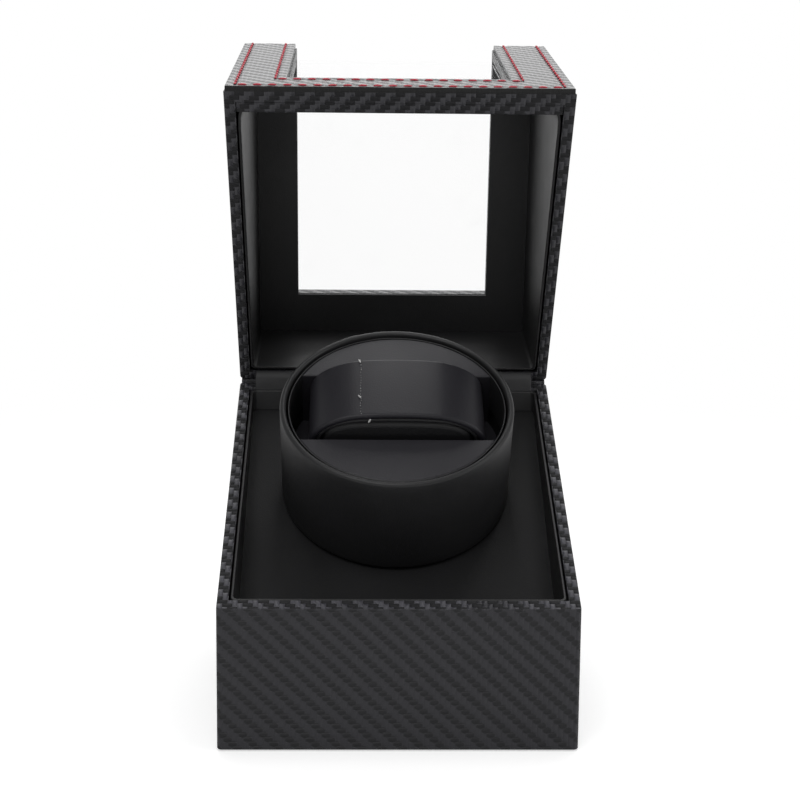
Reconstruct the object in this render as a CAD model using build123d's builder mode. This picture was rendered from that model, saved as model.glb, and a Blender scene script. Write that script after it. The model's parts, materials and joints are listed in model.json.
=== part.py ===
from build123d import *
import os
from math import acos, atan, cos, pi, radians, sin, sqrt, tan

# Single watch winder: a wedge-shaped base with a sloping deck and a turning cup, and a hinged lid
# with a window that runs over its front edge.  Millimetres, +Z up, +Y towards the hinge, and the
# origin at the middle of the underside.  The lid is modelled standing open on its stop.

os.makedirs("parts", exist_ok=True)

# ---------------------------------------------------------------- driving sizes of the case
width = 125.0
depth = 128.0
height = 167.0
front_rim_height = 51.0
back_rim_height = 110.0
lid_open_angle = 80.0

board = 4.0                 # wrapped board of the walls
floor_board = 3.0
felt_thickness = 0.8
wall_lift = 0.4             # how far the felt holds the walls off the table
card = 1.0                  # lining card
card_gap = 0.6              # shadow gap between a lining and its wall
card_recess = 0.5           # how far a lining stops short of the rim
rim_gap = 0.4               # air between the two rims when shut
corner_radius = 1.5
rim_radius = 0.7
board_fit = 0.2             # slip fit of a board between the walls
flush_gap = 0.1             # parts that lie on each other round a bend

facing_thickness = 2.0
frame_width = 22.0          # border that the facing leaves round the window
pane_thickness = 1.0
pane_overlap = 6.0
window_turn = 12.0          # how deep the window's cut reaches past the inner faces
pane_bend = 0.8
lining_front_bend = 12.0
lining_back_bend = 2.0

# ---------------------------------------------------------------- stitching on the facing
stitch_margin = 3.8
stitch_pitch = 5.3
stitch_length = 3.4
stitch_width = 0.8
stitch_height = 0.4
stitch_corner_gap = 1.0     # the seams stop this far short of the folded edge

# ---------------------------------------------------------------- sloping deck
deck_tilt = 32.0
deck_thickness = 3.0
deck_middle_height = 62.3
deck_hole_radius = 10.0
deck_screw_depth = 2.2
cleat_width = 6.0
cleat_height = 5.0
cleat_end_gap = 5.0

# ---------------------------------------------------------------- turning cup
cup_centre_y = 20.0         # where its axis crosses the deck
cup_radius = 43.5
cup_height = 43.5           # rim above the deck
cup_lift = 1.5              # running gap over the deck
cup_wrap = 0.6
cup_wall = 1.2
cup_floor_level = 4.5
cup_floor = 2.5
cup_lip_depth = 7.0
rim_round = 1.1
insert_gap = 1.2
insert_recess = 1.4
insert_edge = 0.8
slot_half_length = 17.7
slot_floor_level = 19.1

# ---------------------------------------------------------------- watch pillow
pillow_side_gap = 10.5      # from the outside of the cup to the pillow
pillow_half_width = cup_radius - pillow_side_gap
pillow_half_height = 16.5
pillow_fit = 0.4            # clearance to the slot's walls and floor
pillow_skin = 2.2
pillow_layer_gap = 0.7
pillow_band = 1.4
pillow_step = 0.3           # each inner layer ends this much further in

# ---------------------------------------------------------------- drive under the deck
shaft_radius = 2.5
running_clearance = 0.05
hub_radius = 22.0
hub_boss_radius = 8.0
hub_screw_circle = 15.0
hub_screw_radius = 1.25
hub_screw_head = 1.6
hub_screw_start = 0.4       # the screws stop short of the hub's underside
hub_screw_pocket = 0.4      # air round their heads
plate = 2.0                 # gear cover and gear case wall
case_depth = 14.0
gear_module = 0.8
gear_teeth = 48
pinion_teeth = 12
fine_module = 0.5
wheel_teeth = 50
motor_pinion_teeth = 10
gear_face = 4.5
wheel_face = 3.0
tooth_backlash = 0.16
gear_air = 0.9              # air between the gears and the case
case_air = 1.6              # the same, sideways
end_play = 0.3
pinion_collar = 1.6         # wall of the idler's sleeve round its pin
drum_gear_sleeve = 5.0
lightening_radius = 3.6     # six holes in the web of the cup's gear
lightening_circle = 12.0
wide_addendum = 0.9         # tooth tips and roots, in modules: small gears
wide_dedendum = 0.85
slim_addendum = 0.6         # and large gears
slim_dedendum = 1.15
idler_pin_radius = 1.5
motor_shaft_radius = 1.0
motor_radius = 12.0
motor_length = 19.0
gearhead_radius = 12.2
gearhead_length = 9.0
bush_radius = 4.5
bush_flange_radius = 6.0
bush_flange = 0.8
case_screw_radius = 1.2
case_screw_head = 1.4
ear_radius = 3.5
ear_reach = 3.5             # screw ears stand this far out of the gear case
ear_inset = 3.0
motor_screw_radius = 1.0
motor_screw_reach = 8.5
motor_screw_head = 1.1
motor_screw_head_radius = 1.8
motor_screw_depth = 4.0
motor_pinion_overlap = 0.5  # the pinion is wider than the wheel by this on each side
motor_boss_radius = 3.2
motor_boss = 1.2
motor_corner = 1.5
gearhead_corner = 0.6
shaft_seat = 1.0
shaft_tip = 0.8
terminal_pitch = 14.0
terminal_width = 2.2
terminal_thickness = 0.6
terminal_length = 3.5
clip_thickness = 0.6
clip_drop = 1.6             # below the gear case
clip_groove_radius = 1.9
clip_radius = 4.4
clip_mouth = 3.2
shaft_tail = 2.6

# ---------------------------------------------------------------- hinges at the back
hinge_offset = 0.6          # axis stands this far behind the back wall
hinge_x = 34.0
hinge_length = 20.0
knuckle_radius = 1.8
knuckle_air = 0.3
hinge_pin_radius = 0.8
leaf = 0.8
leaf_drop = 9.0
brad_radius = 0.7
brad_head_radius = 1.4
brad_head = 0.4
brad_length = 2.6
brad_drop = 6.5             # from the rim
brad_pitch = 12.0
hinge_middle = 6.0          # length of the lid's knuckle
knuckle_gap = 0.2
strip_thickness = 0.5
strip_half_width = 56.0
strip_tuck = 4.4            # how far the strip runs in behind each lining
strip_bend = 3.2

# ---------------------------------------------------------------- back controls and electronics
plate_width = 62.0
plate_height = 24.0
plate_thickness = 1.6
plate_corner = 3.0
plate_edge = 0.5
plate_border = 4.5          # how far the plate laps over the wall round its opening
controls_height = 30.0
knob_x = -19.0
rocker_x = 1.0
socket_x = 20.0
knob_radius = 7.0
knob_height = 8.5
knob_gap = 0.6
knob_stem_radius = 3.0
stem_air = 0.35
stem_root = 1.0             # how far the stem runs up inside the knob
stem_end_air = 0.5
knob_edge = 0.8
grip_count = 18
grip_radius = 0.7
grip_proud = 0.35           # the grip flutes are centred this far outside the knob
grip_stop = 2.0             # and end this far short of its face
pointer_width = 0.9
pointer_depth = 0.6
rotary_body = 14.0
rotary_depth = 8.0
rotary_back = 1.0
rotary_pin_circle = 4.5
rotary_pin_width = 0.6
rotary_pin_depth = 1.4
rotary_pin_length = 3.0
bezel_width = 15.0
bezel_height = 11.0
bezel_thickness = 1.4
bezel_corner = 1.0
bezel_edge = 0.4
switch_depth = 12.0
switch_wall = 1.0
switch_well = 6.0
switch_pin_pitch = 6.0
switch_pin_thickness = 0.8
switch_pin_width = 4.8
switch_pin_length = 5.0
rocker_width = 10.0
rocker_height = 7.4
rocker_air = 0.35
rocker_angle = 20.0
rocker_pivot_depth = 0.6    # its pivot lies this far in from the plate's face
rocker_pivot_radius = 0.8
rocker_root = 2.2
rocker_root_inset = 0.6
rocker_end = 3.1            # height over the pivot at its two ends
rocker_end_inset = 0.2
rocker_valley = 2.2         # and between them
socket_radius = 4.0
socket_bore = 2.9
socket_depth = 11.0
socket_flange_radius = 5.6
socket_flange = 1.0
socket_back = 1.0
nut_thickness = 2.0
nut_air = 0.2
contact_radius = 1.0
contact_recess = 1.0        # the pin ends this far behind the plate's face
plate_screw_radius = 0.9
plate_screw_x = 28.75
plate_screw_head_radius = 1.6
plate_screw_head = 0.9
plate_screw_depth = 3.0
board_length = 48.0
board_width = 30.0
board_thickness = 1.6
board_centre = (28.0, 22.0)
chip_width = 8.0
chip_length = 10.0
chip_height = 1.5
driver_spot = (12.0, -3.0)
driver_length = 5.0
driver_width = 4.0
resistor_spots = [(-10.0, 5.0), (-10.0, 1.0), (-10.0, -3.0)]
resistor_width = 1.6
capacitor_spot = (15.0, 4.0)
capacitor_radius = 3.2
capacitor_height = 7.0
plug_spots = [(-15.0, -9.0), (-3.0, 10.5), (7.0, 10.5)]
plug_length = 6.0
plug_width = 5.0
plug_height = 6.0
standoff_height = 4.0
standoff_radius = 2.6
board_screw_radius = 1.0
board_screw_head = 1.2
board_screw_start = 0.5     # the screws stop short of the floor board
standoff_inset = 8.0
block_size = 9.0
block_height = 12.0
floor_screw_radius = 1.3
block_top = 3.0             # wood left over each floor screw

# ---------------------------------------------------------------- values that follow
half_width = width / 2
half_depth = depth / 2
rim_slope = atan((back_rim_height - front_rim_height) / depth)
rim_step = rim_gap / 2 / cos(rim_slope)
tilt = radians(deck_tilt)
swing = radians(lid_open_angle)
hinge_y = half_depth + hinge_offset
hinge_z = back_rim_height + hinge_offset * tan(rim_slope)
floor_top = felt_thickness + floor_board
inside_x = half_width - board
inside_y = half_depth - board
top_inside = height - facing_thickness - board
window_half_width = half_width - frame_width
window_sill = front_rim_height + frame_width
window_back = half_depth - frame_width


def rim_height(y):
    """Height of the parting plane at a distance y from the middle."""
    return front_rim_height + (y + half_depth) * tan(rim_slope)


def deck_height(y):
    """Height of the deck's upper face at a distance y from the middle."""
    return deck_middle_height + y * tan(tilt)


def swung(y, z):
    """Where a point of the closed lid stands once the lid is open."""
    dy = y - hinge_y
    dz = z - hinge_z
    return (0, hinge_y + dy * cos(swing) + dz * sin(swing), hinge_z - dy * sin(swing) + dz * cos(swing))


# Planes.  side: sketch (y, z), extruded along X.  lid_*: the same in the closed lid's own measures.
side = Plane.YZ
rim_plane = Plane(origin=(0, half_depth, back_rim_height), z_dir=(0, -sin(rim_slope), cos(rim_slope)))
deck = Plane(
    origin=(0, cup_centre_y, deck_height(cup_centre_y)),
    x_dir=(1, 0, 0),
    z_dir=(0, -sin(tilt), cos(tilt)),
)
lid_up = (0, sin(swing), cos(swing))
lid_back = (0, cos(swing), -sin(swing))
lid_front = (0, -cos(swing), sin(swing))
lid_floor = Plane(origin=swung(0, 0), x_dir=(1, 0, 0), z_dir=lid_up)
lid_side = Plane(origin=swung(0, 0), x_dir=lid_back, z_dir=(1, 0, 0))
lid_face = Plane(origin=swung(-half_depth, 0), x_dir=(1, 0, 0), z_dir=lid_front)
lid_top = lid_floor.offset(height)
lid_back_wall = Plane(origin=swung(inside_y, 0), x_dir=(1, 0, 0), z_dir=lid_front)
lid_vertical = Axis(lid_floor.origin, lid_floor.z_dir)
lid_depth = Axis(lid_floor.origin, lid_floor.y_dir)
deck_normal = Axis(deck.origin, deck.z_dir)


def level(h):
    """A plane parallel to the deck, h above its upper face."""
    return deck.offset(h)


def outline(points):
    """A filled polygon in the sketch that is open."""
    Polygon(*points, align=None)


def gear_outline(module, teeth, addendum, dedendum, phase):
    """A filled spur gear with involute flanks and a tooth centred at phase degrees."""
    pitch_radius = module * teeth / 2
    base_radius = pitch_radius * cos(radians(20))
    tip_radius = pitch_radius + addendum * module
    root_radius = pitch_radius - dedendum * module

    def half_angle(radius):
        roll = acos(base_radius / max(radius, base_radius))
        at_pitch = (pi * module / 2 - tooth_backlash) / (2 * pitch_radius)
        return at_pitch + tan(radians(20)) - radians(20) - tan(roll) + roll

    flank = [root_radius]
    if base_radius > root_radius:
        flank.append(base_radius)
    flank += [pitch_radius, (pitch_radius + tip_radius) / 2, tip_radius]
    points = []
    for tooth in range(teeth):
        middle = radians(phase + tooth * 360 / teeth)
        for radius in flank:
            angle = middle - half_angle(radius)
            points.append((radius * cos(angle), radius * sin(angle)))
        for radius in reversed(flank):
            angle = middle + half_angle(radius)
            points.append((radius * cos(angle), radius * sin(angle)))
    outline(points)


# Layout of the gear case, in the deck's own plane with the cup's axis at the centre.
drum_gear_radius = gear_module * gear_teeth / 2
pinion_radius = gear_module * pinion_teeth / 2
wheel_radius = fine_module * wheel_teeth / 2
motor_pinion_radius = fine_module * motor_pinion_teeth / 2
idler_at = (-(drum_gear_radius + pinion_radius), 0)
motor_at = (idler_at[0], -(wheel_radius + motor_pinion_radius))
cover_top = -deck_thickness
cavity_top = cover_top - plate
cavity_bottom = cavity_top - case_depth + plate
case_bottom = cavity_bottom - plate
gear_top = cavity_top - gear_air
gear_bottom = gear_top - gear_face
wheel_top = gear_bottom - gear_air
wheel_bottom = wheel_top - wheel_face
case_left = idler_at[0] - wheel_radius - case_air
case_right = drum_gear_radius + case_air
case_front = motor_at[1] - motor_pinion_radius - 2 * case_air
case_rear = drum_gear_radius + case_air
case_middle = ((case_left + case_right) / 2, (case_front + case_rear) / 2)
case_length = case_right - case_left
case_width = case_rear - case_front
ear_span = case_length + 2 * plate + 2 * ear_reach
ear_rise = case_width - 2 * ear_inset


def case_ears():
    """The four screw ears, seen from above."""
    with Locations(case_middle):
        with GridLocations(ear_span, ear_rise, 2, 2):
            Circle(ear_radius)
        for rise in (-ear_rise / 2, ear_rise / 2):
            with Locations((0, rise)):
                Rectangle(ear_span, 2 * ear_radius)


def case_screw_spots(radius, mode=Mode.ADD):
    """Four circles, one in each ear."""
    with Locations(case_middle):
        with GridLocations(ear_span, ear_rise, 2, 2):
            Circle(radius, mode=mode)


def hub_screw_spots(radius):
    """Three circles round the cup's axis."""
    with PolarLocations(hub_screw_circle, 3, 90):
        Circle(radius)


def motor_screw_spots(radius):
    """Two circles, one on each side of the motor's shaft."""
    with Locations(motor_at):
        with GridLocations(2 * motor_screw_reach, 1, 2, 1):
            Circle(radius)


def standoff_spots(radius, mode=Mode.ADD):
    """Four circles near the corners of the control board."""
    with Locations(board_centre):
        with GridLocations(board_length - standoff_inset, board_width - standoff_inset, 2, 2):
            Circle(radius, mode=mode)


def brad_spots(sign, side_x, radius):
    """Two circles on a hinge leaf, in a sketch (x, z).  sign -1 base, 1 lid."""
    with Locations((side_x, rim_height(inside_y) + sign * brad_drop)):
        with GridLocations(brad_pitch, 1, 2, 1):
            Circle(radius)


def plate_screw_spots(radius, mode=Mode.ADD):
    """Two circles at the ends of the back plate."""
    with Locations((-plate_screw_x, controls_height), (plate_screw_x, controls_height)):
        Circle(radius, mode=mode)


# ================================================================ base: shell, floor and lining
with BuildPart() as base_carcass:
    with BuildSketch(side):
        outline([
            (-half_depth, wall_lift),
            (half_depth, wall_lift),
            (half_depth, back_rim_height - rim_step),
            (-half_depth, front_rim_height - rim_step),
        ])
    extrude(amount=half_width, both=True)
    fillet(edges().filter_by(Axis.Z), corner_radius)
    fillet(faces().sort_by(Axis.Z)[0].edges(), rim_radius)
    fillet(faces().filter_by(rim_plane).edges(), rim_radius)
    with BuildSketch(Plane.XY):
        Rectangle(2 * inside_x, 2 * inside_y)
    extrude(amount=height, mode=Mode.SUBTRACT)
    with BuildSketch(Plane.XZ.offset(-half_depth)):
        with Locations((0, controls_height)):
            Rectangle(plate_width - 2 * plate_border, plate_height - 2 * plate_border)
    extrude(amount=2 * board, both=True, mode=Mode.SUBTRACT)
    with BuildSketch(Plane.XZ.offset(-half_depth)):
        plate_screw_spots(plate_screw_radius)
    extrude(amount=plate_screw_depth, mode=Mode.SUBTRACT)
    for side_x in (-hinge_x, hinge_x):
        with BuildSketch(side.offset(side_x)):
            with Locations((hinge_y, hinge_z)):
                Circle(knuckle_radius + knuckle_air)
            outline([
                (hinge_y, hinge_z),
                (inside_y - leaf, rim_height(inside_y - leaf)),
                (inside_y - leaf, rim_height(inside_y - leaf) - leaf_drop - leaf - rim_step),
                (inside_y + leaf, rim_height(inside_y) - leaf_drop - leaf - rim_step),
                (inside_y + leaf, rim_height(inside_y + leaf) - leaf / cos(rim_slope) - rim_step),
                (hinge_y, hinge_z - leaf / cos(rim_slope) - rim_step),
            ])
        extrude(amount=hinge_length / 2 + knuckle_air, both=True, mode=Mode.SUBTRACT)
    for side_x in (-hinge_x, hinge_x):
        with BuildSketch(Plane.XZ.offset(-inside_y)):
            brad_spots(-1, side_x, brad_radius)
        extrude(amount=-brad_length, mode=Mode.SUBTRACT)
base_carcass.part.label = "base_carcass"
export_step(base_carcass.part, "parts/base_carcass.step")

with BuildPart() as corner_blocks:
    with BuildSketch(Plane.XY.offset(floor_top)):
        with GridLocations(2 * inside_x - block_size, 2 * inside_y - block_size, 2, 2):
            Rectangle(block_size, block_size)
    extrude(amount=block_height)
    with BuildSketch(Plane.XY.offset(floor_top)):
        with GridLocations(2 * inside_x - block_size, 2 * inside_y - block_size, 2, 2):
            Circle(floor_screw_radius)
    extrude(amount=block_height - block_top, mode=Mode.SUBTRACT)
corner_blocks.part.label = "corner_blocks"
export_step(corner_blocks.part, "parts/corner_blocks.step")

with BuildPart() as base_floor:
    with BuildSketch(Plane.XY.offset(felt_thickness)):
        Rectangle(2 * (inside_x - board_fit), 2 * (inside_y - board_fit))
    extrude(amount=floor_board)
    with BuildSketch(Plane.XY.offset(floor_top)):
        standoff_spots(standoff_radius)
    extrude(amount=standoff_height)
    with BuildSketch(Plane.XY.offset(floor_top)):
        standoff_spots(board_screw_radius)
    extrude(amount=standoff_height, mode=Mode.SUBTRACT)
    with Locations(Plane.XY.offset(felt_thickness)):
        with GridLocations(2 * inside_x - block_size, 2 * inside_y - block_size, 2, 2):
            with Locations(Location((0, 0, 0), (180, 0, 0))):
                CounterSinkHole(floor_screw_radius, 2 * floor_screw_radius, floor_board)
base_floor.part.label = "base_floor"
export_step(base_floor.part, "parts/base_floor.step")

with BuildPart() as floor_screws:
    for sx in (-1, 1):
        for sy in (-1, 1):
            post = (sx * (inside_x - block_size / 2), sy * (inside_y - block_size / 2))
            with BuildSketch(Plane.XY.offset(felt_thickness)):
                with Locations(post):
                    Circle(floor_screw_radius)
            extrude(amount=floor_board + block_height - block_top - flush_gap)
            with BuildSketch(Plane.XY.offset(felt_thickness)):
                with Locations(post):
                    Circle(2 * floor_screw_radius)
            extrude(amount=floor_screw_radius, taper=45)
floor_screws.part.label = "floor_screws"
export_step(floor_screws.part, "parts/floor_screws.step")

with BuildPart() as base_felt:
    with BuildSketch(Plane.XY):
        RectangleRounded(2 * (inside_x - board_fit), 2 * (inside_y - board_fit), corner_radius)
    extrude(amount=felt_thickness)
base_felt.part.label = "base_felt"
export_step(base_felt.part, "parts/base_felt.step")

lining_x = inside_x - card_gap
lining_y = inside_y - card_gap
with BuildPart() as base_lining:
    with BuildSketch(side):
        outline([
            (-lining_y, deck_height(-lining_y)),
            (lining_y, deck_height(lining_y)),
            (lining_y, rim_height(lining_y) - rim_step - card_recess),
            (-lining_y, rim_height(-lining_y) - rim_step - card_recess),
        ])
    extrude(amount=lining_x, both=True)
    fillet(edges().filter_by(Axis.Z), lining_back_bend)
    with BuildSketch(Plane.XY):
        RectangleRounded(2 * (lining_x - card), 2 * (lining_y - card), lining_back_bend - card / 2)
    extrude(amount=height, mode=Mode.SUBTRACT)
base_lining.part.label = "base_lining"
export_step(base_lining.part, "parts/base_lining.step")

# ================================================================ sloping deck and its cleats
deck_half = inside_y - board_fit
deck_underside = deck_thickness / cos(tilt)
with BuildPart() as deck_panel:
    with BuildSketch(side):
        outline([
            (-deck_half, deck_height(-deck_half)),
            (deck_half, deck_height(deck_half)),
            (deck_half, deck_height(deck_half) - deck_underside),
            (-deck_half, deck_height(-deck_half) - deck_underside),
        ])
    extrude(amount=inside_x - board_fit, both=True)
    with BuildSketch(deck):
        Circle(deck_hole_radius)
    extrude(amount=2 * deck_thickness, both=True, mode=Mode.SUBTRACT)
    with BuildSketch(level(-deck_thickness)):
        case_screw_spots(case_screw_radius)
    extrude(amount=deck_screw_depth, mode=Mode.SUBTRACT)
deck_panel.part.label = "deck_panel"
export_step(deck_panel.part, "parts/deck_panel.step")

cleat_end = deck_half - cleat_end_gap
with BuildPart() as deck_cleats:
    for sx in (-1, 1):
        with BuildSketch(side.offset(sx * (inside_x - cleat_width / 2))):
            outline([
                (-cleat_end, deck_height(-cleat_end) - deck_underside),
                (cleat_end, deck_height(cleat_end) - deck_underside),
                (cleat_end, deck_height(cleat_end) - deck_underside - cleat_height),
                (-cleat_end, deck_height(-cleat_end) - deck_underside - cleat_height),
            ])
        extrude(amount=cleat_width / 2, both=True)
deck_cleats.part.label = "deck_cleats"
export_step(deck_cleats.part, "parts/deck_cleats.step")

# ================================================================ gear case under the deck
with BuildPart() as gear_cover:
    with BuildSketch(level(cavity_top)):
        with Locations(case_middle):
            Rectangle(case_length + 2 * plate, case_width + 2 * plate)
        case_ears()
        Circle(bush_radius, mode=Mode.SUBTRACT)
        with Locations(idler_at):
            Circle(idler_pin_radius, mode=Mode.SUBTRACT)
        case_screw_spots(case_screw_radius, Mode.SUBTRACT)
    extrude(amount=plate)
gear_cover.part.label = "gear_cover"
export_step(gear_cover.part, "parts/gear_cover.step")

with BuildPart() as gear_case:
    with BuildSketch(level(case_bottom)):
        with Locations(case_middle):
            Rectangle(case_length + 2 * plate, case_width + 2 * plate)
    extrude(amount=cavity_top - case_bottom)
    with BuildSketch(level(cavity_top - plate)):
        case_ears()
    extrude(amount=plate)
    with BuildSketch(level(cavity_bottom)):
        with Locations(case_middle):
            Rectangle(case_length, case_width)
    extrude(amount=case_depth, mode=Mode.SUBTRACT)
    with BuildSketch(level(case_bottom)):
        Circle(bush_radius)
        with Locations(idler_at):
            Circle(idler_pin_radius)
        with Locations(motor_at):
            Circle(motor_pinion_radius + gear_air)
        motor_screw_spots(motor_screw_radius)
        case_screw_spots(case_screw_radius)
    extrude(amount=case_depth + plate, mode=Mode.SUBTRACT)
gear_case.part.label = "gear_case"
export_step(gear_case.part, "parts/gear_case.step")

with BuildPart() as case_screws:
    with BuildSketch(level(cavity_top - plate)):
        case_screw_spots(case_screw_radius)
    extrude(amount=2 * plate + deck_screw_depth)
    with BuildSketch(level(cavity_top - plate - case_screw_head)):
        case_screw_spots(2 * case_screw_radius)
    extrude(amount=case_screw_head)
case_screws.part.label = "case_screws"
export_step(case_screws.part, "parts/case_screws.step")

with BuildPart() as upper_bush:
    with BuildSketch(level(cavity_top)):
        Circle(bush_radius)
    extrude(amount=plate)
    with BuildSketch(level(cover_top)):
        Circle(bush_flange_radius)
    extrude(amount=bush_flange)
    with BuildSketch(level(cavity_top)):
        Circle(shaft_radius + running_clearance)
    extrude(amount=plate + bush_flange, mode=Mode.SUBTRACT)
upper_bush.part.label = "upper_bush"
export_step(upper_bush.part, "parts/upper_bush.step")

with BuildPart() as lower_bush:
    with BuildSketch(level(case_bottom)):
        Circle(bush_radius)
    extrude(amount=plate)
    with BuildSketch(level(cavity_bottom)):
        Circle(bush_flange_radius)
    extrude(amount=bush_flange)
    with BuildSketch(level(case_bottom)):
        Circle(shaft_radius + running_clearance)
    extrude(amount=plate + bush_flange, mode=Mode.SUBTRACT)
lower_bush.part.label = "lower_bush"
export_step(lower_bush.part, "parts/lower_bush.step")

with BuildPart() as idler_pin:
    with BuildSketch(level(case_bottom)):
        with Locations(idler_at):
            Circle(idler_pin_radius)
    extrude(amount=cover_top - case_bottom)
idler_pin.part.label = "idler_pin"
export_step(idler_pin.part, "parts/idler_pin.step")

with BuildPart() as idler_gear:
    with BuildSketch(level(gear_bottom)):
        with Locations(idler_at):
            gear_outline(gear_module, pinion_teeth, wide_addendum, wide_dedendum, 180 / pinion_teeth)
    extrude(amount=gear_face)
    with BuildSketch(level(wheel_bottom)):
        with Locations(idler_at):
            gear_outline(fine_module, wheel_teeth, slim_addendum, slim_dedendum, -90)
    extrude(amount=wheel_face)
    with BuildSketch(level(cavity_bottom + end_play)):
        with Locations(idler_at):
            Circle(idler_pin_radius + pinion_collar)
    extrude(amount=case_depth - plate - 2 * end_play)
    with BuildSketch(level(cavity_bottom)):
        with Locations(idler_at):
            Circle(idler_pin_radius + running_clearance)
    extrude(amount=case_depth, mode=Mode.SUBTRACT)
idler_gear.part.label = "idler_gear"
export_step(idler_gear.part, "parts/idler_gear.step")

with BuildPart() as motor_pinion:
    with BuildSketch(level(wheel_bottom - motor_pinion_overlap)):
        with Locations(motor_at):
            gear_outline(
                fine_module, motor_pinion_teeth, wide_addendum, wide_dedendum, 90 + 180 / motor_pinion_teeth
            )
            Circle(motor_shaft_radius, mode=Mode.SUBTRACT)
    extrude(amount=wheel_face + 2 * motor_pinion_overlap)
motor_pinion.part.label = "motor_pinion"
export_step(motor_pinion.part, "parts/motor_pinion.step")

gearhead_bottom = case_bottom - gearhead_length
with BuildPart() as motor_shaft:
    with BuildSketch(level(gearhead_bottom + shaft_seat + end_play)):
        with Locations(motor_at):
            Circle(motor_shaft_radius)
    extrude(amount=wheel_top + shaft_tip - gearhead_bottom - shaft_seat - end_play)
motor_shaft.part.label = "motor_shaft"
export_step(motor_shaft.part, "parts/motor_shaft.step")

with BuildPart() as gearhead:
    with BuildSketch(level(gearhead_bottom)):
        with Locations(motor_at):
            Circle(gearhead_radius)
    extrude(amount=gearhead_length)
    fillet(edges().group_by(deck_normal)[0], gearhead_corner)
    with BuildSketch(level(gearhead_bottom + shaft_seat)):
        with Locations(motor_at):
            Circle(motor_shaft_radius + running_clearance)
    extrude(amount=gearhead_length, mode=Mode.SUBTRACT)
    with BuildSketch(level(case_bottom)):
        motor_screw_spots(motor_screw_radius)
    extrude(amount=-motor_screw_depth, mode=Mode.SUBTRACT)
gearhead.part.label = "gearhead"
export_step(gearhead.part, "parts/gearhead.step")

with BuildPart() as motor_screws:
    with BuildSketch(level(case_bottom - motor_screw_depth)):
        motor_screw_spots(motor_screw_radius)
    extrude(amount=motor_screw_depth + plate)
    with BuildSketch(level(cavity_bottom)):
        motor_screw_spots(motor_screw_head_radius)
    extrude(amount=motor_screw_head)
motor_screws.part.label = "motor_screws"
export_step(motor_screws.part, "parts/motor_screws.step")

motor_bottom = gearhead_bottom - motor_length
with BuildPart() as motor_can:
    with BuildSketch(level(gearhead_bottom)):
        with Locations(motor_at):
            Circle(motor_radius)
    extrude(amount=-motor_length)
    fillet(edges().group_by(deck_normal)[0], motor_corner)
    with BuildSketch(level(motor_bottom)):
        with Locations(motor_at):
            Circle(motor_boss_radius)
    extrude(amount=-motor_boss)
motor_can.part.label = "motor_can"
export_step(motor_can.part, "parts/motor_can.step")

with BuildPart() as motor_terminals:
    with BuildSketch(level(motor_bottom)):
        with Locations(motor_at):
            with GridLocations(terminal_pitch, 1, 2, 1):
                Rectangle(terminal_width, terminal_thickness)
    extrude(amount=-terminal_length)
motor_terminals.part.label = "motor_terminals"
export_step(motor_terminals.part, "parts/motor_terminals.step")

# ================================================================ cup and what turns with it
clip_level = case_bottom - clip_drop
hub_thickness = cup_floor_level - cup_lift
with BuildPart() as drum_shaft:
    with BuildSketch(level(case_bottom - shaft_tail)):
        Circle(shaft_radius)
    extrude(amount=cup_floor_level - case_bottom + shaft_tail)
    with BuildSketch(level(clip_level)):
        Circle(shaft_radius)
        Circle(clip_groove_radius, mode=Mode.SUBTRACT)
    extrude(amount=clip_thickness, mode=Mode.SUBTRACT)
drum_shaft.part.label = "drum_shaft"
export_step(drum_shaft.part, "parts/drum_shaft.step")

with BuildPart() as shaft_clip:
    with BuildSketch(level(clip_level)):
        Circle(clip_radius)
        Circle(clip_groove_radius, mode=Mode.SUBTRACT)
        with Locations((0, clip_radius)):
            Rectangle(clip_mouth, 2 * clip_radius, mode=Mode.SUBTRACT)
    extrude(amount=clip_thickness)
shaft_clip.part.label = "shaft_clip"
export_step(shaft_clip.part, "parts/shaft_clip.step")

with BuildPart() as drum_gear:
    with BuildSketch(level(gear_bottom)):
        gear_outline(gear_module, gear_teeth, slim_addendum, slim_dedendum, 180)
    extrude(amount=gear_face)
    with BuildSketch(level(cavity_bottom + bush_flange + end_play)):
        Circle(drum_gear_sleeve)
    extrude(amount=case_depth - plate - bush_flange - 2 * end_play)
    with BuildSketch(level(gear_bottom)):
        with PolarLocations(lightening_circle, 6):
            Circle(lightening_radius)
        Circle(shaft_radius)
    extrude(amount=gear_face, mode=Mode.SUBTRACT)
    with BuildSketch(level(cavity_bottom)):
        Circle(shaft_radius)
    extrude(amount=case_depth, mode=Mode.SUBTRACT)
drum_gear.part.label = "drum_gear"
export_step(drum_gear.part, "parts/drum_gear.step")

boss_bottom = cover_top + bush_flange + end_play
with BuildPart() as drum_hub:
    with BuildSketch(level(cup_lift)):
        Circle(hub_radius)
    extrude(amount=hub_thickness)
    with BuildSketch(level(boss_bottom)):
        Circle(hub_boss_radius)
    extrude(amount=cup_lift - boss_bottom)
    with BuildSketch(level(boss_bottom)):
        Circle(shaft_radius)
    extrude(amount=cup_floor_level - boss_bottom, mode=Mode.SUBTRACT)
    with BuildSketch(level(cup_lift)):
        hub_screw_spots(hub_screw_radius)
    extrude(amount=hub_thickness, mode=Mode.SUBTRACT)
drum_hub.part.label = "drum_hub"
export_step(drum_hub.part, "parts/drum_hub.step")

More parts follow.
